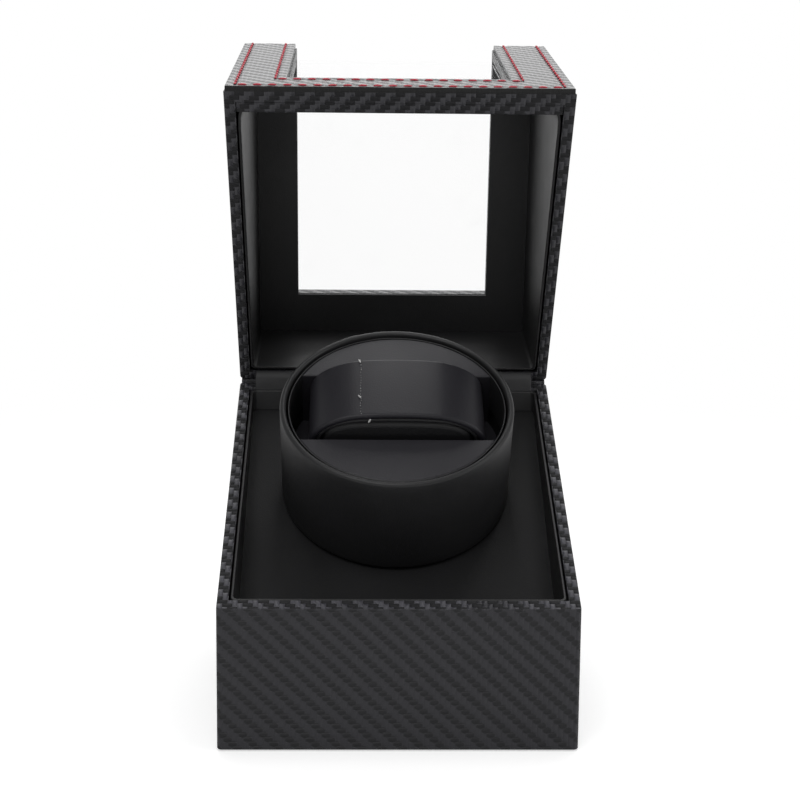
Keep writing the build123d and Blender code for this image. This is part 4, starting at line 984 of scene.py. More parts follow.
# ------------------------------------------------------------------------------ lid
@dataclass
class Lid:
    """The lid: shell, stitched facing, pane and lining.

    Attributes:
        cell: size of the facing's mesh, in mm.
        thickness: of the facing, in mm.
        seam_inset: of the stitching from each edge, in mm.
        corner_gap: how far the upright seams stop short of the front edge, in mm.
        stitch_pitch: from one stitch to the next, in mm.
        stitch_length: length of a stitch, in mm.
        stitch_sway: the most that a stitch leans, in radians.
        stitch_bow: how far a stitch's ends dip, in mm.
        stitch_lift: how far a stitch's middle stands over the seam, in mm.
        thread: half the width of a stitch, in mm.
        thread_rise: half its height, in mm.
        pucker: how deep the seams pull the facing in, in mm.
        pucker_width: how wide that dent is, in mm.
        pucker_mean: its mean depth along a seam, as a share of its deepest.
        wave: height of the padding's waves, in mm.
        wave_cells: how many waves there are per millimetre.
        reach: half the length of the unfolded sheet before it is cut, in cells.
        border: width round the lid's faces in which the window has no edge, in mm.
        room: how much thinner the facing is than its place, in mm.
        fold_radius: how round the facing's front edge is, in mm.
        edge: rounding of the facing's edges, in mm.
        inset: how far the facing stops short of the walls' outsides, in mm.
        lining_edge: rounding of the lining's edges, in mm.
        wall: thickness of the walls, in mm.
        liner: thickness of the wrapped board inside the front rim, in mm.
        liner_edge: rounding of its edges, in mm.
        liner_sink: how far it is let into the wall, in mm.
        liner_foot: how far it stops short of the rim, in mm.
        liner_top: how far it stops short of the window's sill, in mm.
        lining_gap: room between the lining and the walls, in mm.
        bend: radius of the lining's front corners before they are creased, in mm.
        sharper: power of the creased corner's outline.
        rim_slope: slope of the parting between the base and the lid, in radians.
        seed: of the stitches' small irregularity.
    """

    cell: float = 1.0
    thickness: float = 2.0
    seam_inset: float = 3.8
    corner_gap: float = 1.2
    stitch_pitch: float = 5.3
    stitch_length: float = 3.4
    stitch_sway: float = 0.07
    stitch_bow: float = 0.22
    stitch_lift: float = 0.18
    thread: float = 0.55
    thread_rise: float = 0.36
    pucker: float = 0.32
    pucker_width: float = 1.1
    pucker_mean: float = 0.7
    wave: float = 0.08
    wave_cells: float = 0.05
    reach: int = 130
    border: float = 5.0
    room: float = 0.1
    fold_radius: float = 2.2
    edge: float = 0.8
    inset: float = 0.5
    lining_edge: float = 0.3
    wall: float = 4.0
    liner: float = 4.0
    liner_edge: float = 0.6
    liner_sink: float = 0.1
    liner_foot: float = 0.15
    liner_top: float = 1.2
    lining_gap: float = 0.62
    bend: float = 12.0
    sharper: float = 6.0
    rim_slope: float = math.atan2(59.0, 128.0)
    seed: int = 4

    def build(self) -> None:
        """Make every piece of the lid."""
        low, high = turned_box("lid_facing", SHUT_LID)
        self.half = high.x / MM
        self.front = low.y / MM
        self.back = high.y / MM
        self.top = high.z / MM
        self.sill, self.window_back, self.window_half = self.window()
        self.drop = (high.z - low.z) / MM
        dress("lid_carcass", Finish.LID_SHELL)
        dress("window_pane", Finish.PANE)
        dress("hinge_lid_leaves", Finish.STEEL)
        dress("hinge_lid_brads", Finish.STEEL)
        self.facing()
        self.stitching()
        self.rim_liner()
        self.linings()

    def window(self) -> tuple[float, float, float]:
        """Find the window's edges from the facing's own mesh.

        Returns:
            The sill's height, the window's back edge and its half width, in mm, lid shut.
        """
        points = [SHUT_LID @ v.co / MM for v in frame["nodes"]["lid_facing"].data.vertices]
        inner = [p for p in points if abs(p.x) < self.half - self.border]
        half = max(abs(p.x) for p in inner)
        sill = max(p.z for p in inner if p.z < self.top - self.border)
        back = min(p.y for p in inner if p.y > self.front + self.border)
        return sill, back, half

    def seams(self) -> list[tuple[Vector, Vector]]:
        """Lay out the stitching on the unfolded facing.

        Returns:
            Start and end of each seam: x, and the way from the front edge, positive on the top.
        """
        outer = self.half - self.seam_inset
        inner = self.window_half + self.seam_inset
        low = -(self.drop - self.seam_inset)
        far = self.back - self.front - self.seam_inset
        eye_low = -(self.top - self.sill + self.seam_inset)
        eye_far = self.window_back - self.front + self.seam_inset
        gap = self.corner_gap
        lines = []
        for x, start, end in ((outer, low, far), (inner, eye_low, eye_far)):
            lines.append((Vector((-x, start, 0)), Vector((x, start, 0))))
            lines.append((Vector((-x, end, 0)), Vector((x, end, 0))))
            for side in (-x, x):
                lines.append((Vector((side, start, 0)), Vector((side, -gap, 0))))
                lines.append((Vector((side, gap, 0)), Vector((side, end, 0))))
        return lines

    def fold(self, flat: Vector) -> Vector:
        """Fold a point of the unfolded facing over the lid's front edge.

        Args:
            flat: x, the way from the edge, and the height over the outer face, in mm.

        Returns:
            The point with the lid shut, in mm.
        """
        x, way, rise = flat
        share = (way + self.fold_radius) / (2 * self.fold_radius)
        turn = max(0.0, min(1.0, share)) * math.pi / 2
        reach = self.fold_radius + rise
        y = self.front + self.fold_radius - reach * math.cos(turn) + max(0.0, way - self.fold_radius)
        z = self.top - self.fold_radius + reach * math.sin(turn) + min(0.0, way + self.fold_radius)
        return Vector((x, y, z))

    def dent(self, x: float, way: float) -> float:
        """How far the stitching pulls the facing in at a point.

        Args:
            x: the point's place across the lid, in mm.
            way: its way from the front edge, in mm.

        Returns:
            The depth, in mm.
        """
        deepest = 0.0
        spot = Vector((x, way, 0))
        for start, end in self.lines:
            along = end - start
            share = max(0.0, min(1.0, (spot - start).dot(along) / along.length_squared))
            away = (spot - start - along * share).length
            if away < 3 * self.pucker_width:
                turn = 2 * math.pi * share * along.length / self.stitch_pitch
                beat = self.pucker_mean + (1 - self.pucker_mean) * math.cos(turn)
                deepest = max(deepest, beat * math.exp(-((away / self.pucker_width) ** 2)))
        return deepest * self.pucker

    def facing(self) -> bpy.types.Object:
        """Make the padded board that frames the window, puckered along its seams.

        Returns:
            The piece.
        """
        self.lines = self.seams()
        across = round(2 * self.half / self.cell)
        mesh = bmesh.new()
        bmesh.ops.create_grid(mesh, x_segments=across, y_segments=2 * self.reach, size=1.0)
        bmesh.ops.scale(mesh, vec=(self.half - self.inset, self.reach * self.cell, 1), verts=mesh.verts)
        deep = self.back - self.front - self.inset
        for way, outward in ((self.inset - self.drop, -1), (deep, 1)):
            bmesh.ops.bisect_plane(
                mesh,
                geom=[*mesh.verts, *mesh.edges, *mesh.faces],
                plane_co=(0, way, 0),
                plane_no=(0, outward, 0),
                clear_outer=True,
            )
        hole = [
            f
            for f in mesh.faces
            if abs(f.calc_center_median().x) < self.window_half
            and self.sill - self.top < f.calc_center_median().y < self.window_back - self.front
        ]
        bmesh.ops.delete(mesh, geom=hole, context="FACES")
        for vert in mesh.verts:
            depth = self.dent(vert.co.x, vert.co.y)
            swell = noise.noise(vert.co * self.wave_cells) * self.wave
            vert.co = self.fold(Vector((vert.co.x, vert.co.y, swell - depth - self.wave)))
        bmesh.ops.recalc_face_normals(mesh, faces=mesh.faces)
        if sum(f.normal.z for f in mesh.faces) < 0:
            bmesh.ops.reverse_faces(mesh, faces=mesh.faces)
        opened(mesh)
        made = piece("window_facing", mesh, Finish.FACING)
        thick = made.modifiers.new("board", "SOLIDIFY")
        thick.thickness = (self.thickness - self.room) * MM
        thick.offset = -1
        thick.use_even_offset = True
        rounded(made, self.edge, angle=50)
        return settle(made, Body.LID, "facing_wrap", "lid_facing")

    def stitching(self) -> bpy.types.Object:
        """Sew the facing: one short sunk thread for each stitch.

        Returns:
            The piece.
        """
        draw = random.Random(self.seed)
        mesh = bmesh.new()
        for start, end in self.lines:
            along = end - start
            count = max(2, round(along.length / self.stitch_pitch))
            for number in range(count):
                middle = start + along * ((number + 0.5) / count)
                self.stitch(mesh, middle, along.normalized(), along.length / count, draw)
        opened(mesh)
        made = piece("window_stitching", mesh, Finish.RED_THREAD, smooth=80)
        return settle(made, Body.LID, "thread", "facing_stitches")

    def stitch(
        self, mesh: bmesh.types.BMesh, middle: Vector, along: Vector, pitch: float, draw: random.Random
    ) -> None:
        """Add one stitch.

        Args:
            mesh: the mesh to add to.
            middle: its middle on the unfolded facing, in mm.
            along: its direction.
            pitch: the room it has, in mm.
            draw: source of its small irregularity.
        """
        half = pitch * self.stitch_length / self.stitch_pitch / 2
        shape = Matrix.Diagonal((half, self.thread, self.thread_rise, 1))
        lean = math.atan2(along.y, along.x) + draw.uniform(-self.stitch_sway, self.stitch_sway)
        sway = Matrix.Rotation(lean, 4, "Z")
        made = bmesh.ops.create_uvsphere(mesh, u_segments=8, v_segments=6, radius=1.0, matrix=sway @ shape)
        depth = self.dent(middle.x, middle.y)
        for vert in made["verts"]:
            bow = -self.stitch_bow * ((vert.co.x**2 + vert.co.y**2) / (pitch / 2) ** 2)
            rise = vert.co.z + bow + self.stitch_lift - depth
            vert.co = self.fold(Vector((vert.co.x + middle.x, vert.co.y + middle.y, rise)))

    def rim_liner(self) -> bpy.types.Object:
        """Make the wrapped board that thickens the front wall's rim on the inside, below the window.

        Returns:
            The piece.
        """
        near, deep = 0.6, 60.0
        points = [SHUT_LID @ v.co / MM for v in frame["nodes"]["lid_carcass"].data.vertices]
        inside = self.front + self.thickness + self.wall
        rim = [p for p in points if abs(p.y - inside) < near and p.z < self.top - deep]
        low = min(p.z for p in rim)
        slope = math.tan(self.rim_slope)
        half = turned_box("lid_lining", SHUT_LID)[1].x / MM + self.lining_gap
        mesh = bmesh.new()
        sunk, face = inside - self.liner_sink, inside + self.liner
        corners = [(-half, sunk), (half, sunk), (half, face), (-half, face)]
        foot = [mesh.verts.new((x, y, low + self.liner_foot + (y - inside) * slope)) for x, y in corners]
        base = mesh.faces.new(foot)
        grown = bmesh.ops.extrude_face_region(mesh, geom=[base])["geom"]
        raised = [g for g in grown if isinstance(g, bmesh.types.BMVert)]
        for vert in raised:
            vert.co.z = self.sill - self.liner_top
        bmesh.ops.recalc_face_normals(mesh, faces=mesh.faces)
        opened(mesh)
        made = piece("lid_rim_liner", mesh, Finish.LID_SHELL)
        rounded(made, self.liner_edge)
        return settle(made, Body.LID, "shell_wrap")

    def linings(self) -> None:
        """Make the lid's card linings, with their cut edges rounded."""
        for name, node in (("lid_band", "lid_lining"), ("lid_back_card", "lid_top_card")):
            mesh = copy_of(node)
            if node == "lid_lining":
                self.crease(mesh)
            made = piece(name, mesh, Finish.LINING)
            rounded(made, self.lining_edge)
            settle(made, Body.LID, "smooth_wrap", node)

    def crease(self, mesh: bmesh.types.BMesh) -> None:
        """Push the lining's two front bends further into the walls' corners.

        Args:
            mesh: the lining's mesh, with the lid open, in metres.
        """
        low, high = turned_box("lid_lining", SHUT_LID)
        middle_x = high.x / MM - self.bend
        middle_y = low.y / MM + self.bend
        bmesh.ops.transform(mesh, matrix=SHUT_LID, verts=mesh.verts)
        for vert in mesh.verts:
            x, y = abs(vert.co.x) / MM - middle_x, middle_y - vert.co.y / MM
            if x <= 0 or y <= 0:
                continue
            far = math.hypot(x, y)
            spread = ((x / far) ** self.sharper + (y / far) ** self.sharper) ** (-1 / self.sharper)
            vert.co.x = math.copysign((middle_x + x * spread) * MM, vert.co.x)
            vert.co.y = (middle_y - y * spread) * MM
        bmesh.ops.transform(mesh, matrix=OPEN_LID, verts=mesh.verts)


# ------------------------------------------------------------------------------ turning cup
@dataclass
class Cup:
    """The turning cup with its wrap and its slotted insert.

    Attributes:
        steps: how many faces go round it.
        lap: how far the wrap's end stands over its start, in mm.
        lap_width: how wide the step between them is, in degrees.
        lap_span: how far round the lap fades out, in degrees.
        lap_at: where the lap lies, in degrees from the right.
        lip: how far the wrap reaches down inside the cup, in mm.
        wall: thickness of the cup's wall, in mm.
        tuck: thickness of the wrap on the cup, as a share of the room it has.
        foot_round: how far up the wrap's foot is rounded, in mm.
        ripple: how far the wrap's side waves, in mm.
        ripple_cells: how many of these waves there are per metre.
        rim_wave: how far the rims wave up and down, in mm.
        rim_cells: how many waves the wrap's rim has per metre.
        liner_depth: how far the insert's rolled edge reaches down, in mm.
        liner_out: how far it stands out past the insert, in mm.
        liner_rise: how far it stands up past the insert, in mm.
        liner_thickness: its thickness, in mm.
        liner_inside: how far its roll reaches down on the inside, in mm.
        liner_outside: how far its roll reaches down on the outside, in mm.
        liner_cells: how many waves its rim has per metre.
        insert_edge: rounding of the insert's edges, in mm.
    """

    steps: int = 180
    lap: float = 0.35
    lap_width: float = 2.0
    lap_span: float = 14.0
    lap_at: float = 110.0
    lip: float = 7.0
    wall: float = 1.2
    tuck: float = 0.9
    foot_round: float = 0.6
    ripple: float = 0.07
    ripple_cells: float = 60.0
    rim_wave: float = 0.12
    rim_cells: float = 90.0
    liner_depth: float = 16.0
    liner_out: float = 0.5
    liner_rise: float = 0.12
    liner_thickness: float = 0.55
    liner_inside: float = 0.25
    liner_outside: float = 0.4
    liner_cells: float = 140.0
    insert_edge: float = 0.35

    def build(self) -> None:
        """Make every piece that turns."""
        for node in ("drum_cup", "drum_hub"):
            dress(node, Finish.BLACK_PLASTIC)
        for node in ("drum_shaft", "shaft_clip", "hub_screws"):
            dress(node, Finish.STEEL)
        dress("drum_gear", Finish.NYLON)
        self.wrap()
        self.liner()
        self.insert()

    def spun(self, outline: list[tuple[float, float]]) -> bmesh.types.BMesh:
        """Spin a closed outline into a ring round the cup's axis.

        Args:
            outline: radius and height of its corners, in mm.

        Returns:
            The ring in the cup's own frame, in metres.
        """
        mesh = bmesh.new()
        verts = [mesh.verts.new(Vector((x, 0, z)) * MM) for x, z in outline]
        edges = [mesh.edges.new(pair) for pair in zip(verts, verts[1:] + verts[:1])]
        bmesh.ops.spin(
            mesh,
            geom=[*verts, *edges],
            cent=(0, 0, 0),
            axis=(0, 0, 1),
            angle=2 * math.pi,
            steps=self.steps,
            use_merge=True,
        )
        bmesh.ops.recalc_face_normals(mesh, faces=mesh.faces)
        return mesh

    def liner(self) -> bpy.types.Object:
        """Make the thin rolled edge that runs round the insert and past the ends of its slot.

        Returns:
            The piece.
        """
        high = turned_box("drum_insert", DECK.inverted())[1]
        radius, top = high.x / MM + self.liner_out, high.z / MM + self.liner_rise
        foot, inner, roll = top - self.liner_depth, radius - self.liner_thickness, self.liner_thickness / 2
        outline = [(inner, foot), (inner, top - self.liner_inside)]
        for k in range(7):
            turn = math.pi * k / 6
            outline.append((radius - roll - roll * math.cos(turn), top - roll + roll * math.sin(turn)))
        outline += [(radius, top - self.liner_outside), (radius, foot)]
        mesh = self.spun(outline)
        for vert in mesh.verts:
            vert.co.z += noise.noise(vert.co * self.liner_cells) * self.rim_wave * MM
        bmesh.ops.transform(mesh, matrix=DECK, verts=mesh.verts)
        made = piece("insert_rolled_edge", mesh, Finish.CUP, smooth=60)
        return settle(made, Body.DRUM, "smooth_wrap")

    def wrap(self) -> bpy.types.Object:
        """Make the leatherette wrap, rolled over the rim and lapped at the back.

        Returns:
            The piece.
        """
        low, high = turned_box("drum_wrap", DECK.inverted())
        radius, foot, top = high.x / MM, low.z / MM, high.z / MM
        skin = radius - turned_box("drum_cup", DECK.inverted())[1].x / MM
        roll = (2 * skin + self.wall) / 2
        inner = radius - 2 * roll
        outline = [(radius - skin * 0.6, foot), (radius - 0.1, foot + 0.1), (radius, foot + self.foot_round)]
        outline += [(radius, foot + (top - foot - roll) * k / 12) for k in range(1, 12)]
        for k in range(9):
            turn = math.pi * k / 8
            outline.append((radius - roll + roll * math.cos(turn), top - roll + roll * math.sin(turn)))
        outline += [(inner, top - self.lip), (inner + skin * self.tuck, top - self.lip)]
        under = top - skin * self.tuck
        outline += [(inner + skin * self.tuck, under), (radius - skin * self.tuck, under)]
        mesh = self.spun(outline)
        for vert in mesh.verts:
            turn = math.degrees(math.atan2(vert.co.y, vert.co.x)) - self.lap_at
            turn = (turn + 180) % 360 - 180
            step = 0.0
            if 0 <= turn < self.lap_span:
                step = min(1.0, turn / self.lap_width) * (1 - turn / self.lap_span)
            out = Vector((vert.co.x, vert.co.y, 0)).normalized()
            outside = vert.co.xy.length / MM > radius - roll
            ripple = noise.noise(vert.co * self.ripple_cells) * self.ripple
            if outside:
                vert.co += out * (step * self.lap + ripple - self.ripple) * MM
            if vert.co.z / MM > top - roll:
                apart = Vector((7, 0, 0))
                vert.co.z += noise.noise(vert.co * self.rim_cells + apart) * self.rim_wave * MM
        bmesh.ops.transform(mesh, matrix=DECK, verts=mesh.verts)
        made = piece("cup_wrap", mesh, Finish.CUP, smooth=60)
        return settle(made, Body.DRUM, "smooth_wrap", "drum_wrap")

    def insert(self) -> bpy.types.Object:
        """Make the insert with its slot.

        Returns:
            The piece.
        """
        made = piece("cup_insert", copy_of("drum_insert"), Finish.INSERT)
        rounded(made, self.insert_edge)
        return settle(made, Body.DRUM, "smooth_wrap", "drum_insert")


# ------------------------------------------------------------------------------ watch pillow
@dataclass
class Pillow:
    """The soft oval roll that a watch is strapped round.

    Attributes:
        around: faces round the roll.
        along: faces along it.
        inner_around: faces round the layers inside it.
        inner_along: faces along them.
        skin: thickness of the padded cover, in mm.
        band: thickness of the rolled layers inside it, in mm.
        gap: between the layers, in mm.
        swell: the most that a point may bulge, in mm.
        panel: where the roll's top flattens, as a share of half its height.
        flatten: how far the top above that is pressed down, as a share.
        power: power of the oval at its outside, which is 1 for an ellipse.
        squarer: how much that power falls per millimetre inwards.
        set_back: how much shorter the roll is than its slot, at the front, in mm.
        cover_short: how much shorter the cover is than the roll, in mm.
        liner_short: how much shorter the rolled layer is, in mm.
        core_short: how much shorter the core is, in mm.
        core_edge: rounding of the core's ends, in mm.
        edge_share: rounding of a layer's edges, as a share of its thickness.
        start: how far in the cover starts before it is blown up, as a share of swell.
        held_end: how far along the cover it is held, as a share of half its length.
        held_under: how low on the cover it is held, as a share of half its height.
        pressure: of the air that blows the cover up.
        stiffness: of the cover against stretch and squash.
        bending: of the cover against bending.
        frames: how long the cover is blown up.
        lap_at: where the cover's edges meet, as a share of the way from the right over the top.
        thread_stand: how far the lap's thread stands out, in mm.
        thread_radius: its radius, in mm.
        thread_bits: half lengths of the bits that show, in mm.
        thread_wander: the most that a bit lies beside the lap, in mm.
        thread_steps: the least and the most from one bit to the next, in mm.
        thread_ends: how far it stops short of the roll's front and back, in mm.
        glue: place along the roll as a share, lean in radians and half length in mm of each drop of glue.
        seed: of the thread's irregularity.
    """

    around: int = 120
    along: int = 26
    inner_around: int = 96
    inner_along: int = 8
    skin: float = 2.4
    band: float = 1.6
    gap: float = 0.55
    swell: float = 0.7
    panel: float = 0.9
    flatten: float = 0.4
    power: float = 0.9
    squarer: float = 0.04
    set_back: float = 1.6
    cover_short: float = 1.6
    liner_short: float = 2.2
    core_short: float = 3.0
    core_edge: float = 2.4
    edge_share: float = 0.42
    start: float = 0.6
    held_end: float = 0.93
    held_under: float = 0.55
    pressure: float = 4.0
    stiffness: float = 12.0
    bending: float = 2.0
    frames: int = 20
    lap_at: float = 0.62
    thread_stand: float = 0.1
    thread_radius: float = 0.12
    thread_bits: tuple = (0.14, 0.16, 0.3)
    thread_wander: float = 0.2
    thread_steps: tuple = (0.8, 1.9)
    thread_ends: tuple = (1.5, 1.0)
    glue: tuple = ((0.44, 0.35, 1.1), (-0.17, 0.6, 1.0))
    seed: int = 7

    def build(self) -> None:
        """Make the cover, the rolled layers and the core."""
        turn = DECK.inverted()
        low, high = turned_box("pillow_cover", turn)
        self.wide = (high.x - low.x) / 2 / MM
        self.tall = (high.z - low.z) / 2 / MM
        self.long = (high.y - low.y) / MM - self.set_back
        self.shift = self.set_back / 2
        self.middle = (high.z + low.z) / 2 / MM
        self.cover()
        self.layers()
        self.lap_marks()

    def oval(self, share: float, inset: float) -> Vector:
        """A point on the roll's section, which grows squarer towards the core.

        Args:
            share: how far round, from the right over the top.
            inset: how far in from the outside, in mm.

        Returns:
            x and height, in mm, as a vector with no depth.
        """
        turn = 2 * math.pi * share
        power = self.power - self.squarer * inset
        x = math.copysign(abs(math.cos(turn)) ** power, math.cos(turn)) * (self.wide - inset)
        z = math.copysign(abs(math.sin(turn)) ** power, math.sin(turn)) * (self.tall - inset)
        z -= self.flatten * max(0.0, z - (self.tall - inset) * self.panel)
        return Vector((x, 0, z + self.middle))

    def tube(self, inset: float, length: float, around: int, along: int) -> bmesh.types.BMesh:
        """Make an open oval tube in the cup's own frame.

        Args:
            inset: how far in from the outside, in mm.
            length: its length, in mm.
            around: faces round it.
            along: faces along it.

        Returns:
            The tube, in metres.
        """
        mesh = bmesh.new()
        ring = bmesh.ops.create_circle(mesh, cap_ends=False, segments=around, radius=1.0)["verts"]
        for vert in ring:
            share = (math.atan2(vert.co.y, vert.co.x) / (2 * math.pi)) % 1.0
            spot = self.oval(share, inset)
            vert.co = Vector((spot.x, -length / 2, spot.z)) * MM
        edges = list(mesh.edges)
        for _ in range(along):
            grown = bmesh.ops.extrude_edge_only(mesh, edges=edges)["geom"]
            verts = [g for g in grown if isinstance(g, bmesh.types.BMVert)]
            edges = [g for g in grown if isinstance(g, bmesh.types.BMEdge)]
            bmesh.ops.translate(mesh, verts=verts, vec=(0, length / along * MM, 0))
        bmesh.ops.recalc_face_normals(mesh, faces=mesh.faces)
        return mesh

    def face_out(self, mesh: bmesh.types.BMesh) -> None:
        """Turn a tube's faces outwards.

        Args:
            mesh: the tube.
        """
        core = Vector((0, 0, self.middle * MM))
        outward = sum(f.normal.dot(f.calc_center_median() - core) for f in mesh.faces)
        if outward < 0:
            bmesh.ops.reverse_faces(mesh, faces=mesh.faces)

    def cover(self) -> bpy.types.Object:
        """Make the padded cover: an oval tube that is blown up a little, then given its thickness.

        Returns:
            The piece.
        """
        mesh = self.tube(self.swell * self.start, self.long - self.cover_short, self.around, self.along)
        self.face_out(mesh)
        made = piece("pillow_roll", mesh, Finish.PILLOW, smooth=80)
        self.inflate(made)
        thick = made.modifiers.new("padding", "SOLIDIFY")
        thick.thickness = self.skin * MM
        thick.offset = -1
        rounded(made, self.skin * self.edge_share, segments=4, angle=50)
        self.place(made)
        return settle(made, Body.PILLOW, "smooth_wrap", "pillow_cover")

    def inflate(self, made: bpy.types.Object) -> None:
        """Blow the tube up as cloth and keep what it becomes, within a cap.

        Args:
            made: the tube.
        """
        rest = [v.co.copy() for v in made.data.vertices]
        held = made.vertex_groups.new(name="held")
        for vert in made.data.vertices:
            end = abs(vert.co.y) / (self.long / 2 * MM)
            under = vert.co.z / MM < self.middle - self.tall * self.held_under
            held.add([vert.index], 1.0 if end > self.held_end or under else 0.0, "REPLACE")
        cloth = made.modifiers.new("cloth", "CLOTH")
        cloth.settings.vertex_group_mass = "held"
        cloth.settings.use_pressure = True
        cloth.settings.uniform_pressure_force = self.pressure
        cloth.settings.tension_stiffness = self.stiffness
        cloth.settings.compression_stiffness = self.stiffness
        cloth.settings.bending_stiffness = self.bending
        cloth.settings.effector_weights.gravity = 0
        cloth.settings.quality = 5
        for number in range(1, self.frames + 1):
            bpy.context.scene.frame_set(number)
        shown = made.evaluated_get(bpy.context.evaluated_depsgraph_get())
        blown = [v.co.copy() for v in shown.data.vertices]
        made.modifiers.remove(cloth)
        bpy.context.scene.frame_set(1)
        cap = self.swell * MM
        for vert, old, new in zip(made.data.vertices, rest, blown):
            move = new - old
            if move.length > cap:
                move = move.normalized() * cap
            vert.co = old + move

    def place(self, made: bpy.types.Object) -> None:
        """Take a piece from the cup's own frame to its place."""
        made.data.transform(DECK @ Matrix.Translation((0, self.shift * MM, 0)))
        made.data.update()

    def layers(self) -> None:
        """Make the rolled layers that show at the roll's ends, and the core."""
        inset = self.skin + self.gap
        mesh = self.tube(inset, self.long - self.liner_short, self.inner_around, self.inner_along)
        self.face_out(mesh)
        liner = piece("pillow_inner_roll", mesh, Finish.BAND, smooth=80)
        thick = liner.modifiers.new("padding", "SOLIDIFY")
        thick.thickness = self.band * MM
        thick.offset = -1
        rounded(liner, self.band * self.edge_share, segments=3, angle=50)
        self.place(liner)
        settle(liner, Body.PILLOW, "cloth", "pillow_liner")

        inset += self.band + self.gap
        mesh = self.tube(inset, self.long - self.core_short, self.inner_around, self.inner_along)
        ends = [e for e in mesh.edges if e.is_boundary]
        bmesh.ops.holes_fill(mesh, edges=ends, sides=0)
        bmesh.ops.recalc_face_normals(mesh, faces=mesh.faces)
        core = piece("pillow_padding", mesh, Finish.BAND, smooth=80)
        rounded(core, self.core_edge, segments=5, angle=50)
        self.place(core)
        settle(core, Body.PILLOW, "foam", "pillow_core")

    def lap_marks(self) -> bpy.types.Object:
        """Put the thread ends and dried glue along the lapped edge of the cover.

        Returns:
            The piece.
        """
        mesh = bmesh.new()
        spot = self.oval(self.lap_at / 2, -self.thread_stand)
        draw = random.Random(self.seed)
        way = -self.long / 2 + self.thread_ends[0]
        while way < self.long / 2 - self.thread_ends[1]:
            size = draw.choice(self.thread_bits)
            shape = Matrix.Diagonal((self.thread_radius, size, self.thread_radius, 1))
            beside = draw.uniform(-self.thread_wander, self.thread_wander)
            at = Matrix.Translation((spot.x + beside, way, spot.z))
            bmesh.ops.create_uvsphere(mesh, u_segments=8, v_segments=6, radius=1.0, matrix=at @ shape)
            way += draw.uniform(*self.thread_steps)
        for way, lean, size in self.glue:
            shape = Matrix.Diagonal((0.3, size, 0.22, 1))
            at = Matrix.Translation((spot.x - 0.5, way * self.long, spot.z))
            sway = at @ Matrix.Rotation(lean, 4, "Z")
            bmesh.ops.create_uvsphere(mesh, u_segments=10, v_segments=8, radius=1.0, matrix=sway @ shape)
        low = self.oval(0.29, self.skin + self.gap + self.band * 0.4)
        shape = Matrix.Diagonal((0.4, 0.3, 1.0, 1))
        sway = Matrix.Translation((low.x, -self.long / 2 + 0.9, low.z)) @ Matrix.Rotation(0.4, 4, "Y")
        bmesh.ops.create_uvsphere(mesh, u_segments=10, v_segments=8, radius=1.0, matrix=sway @ shape)
        bmesh.ops.scale(mesh, vec=(MM, MM, MM), verts=mesh.verts)
        made = piece("pillow_lap_thread", mesh, Finish.PALE_THREAD, smooth=80)
        self.place(made)
        return settle(made, Body.PILLOW, "thread")


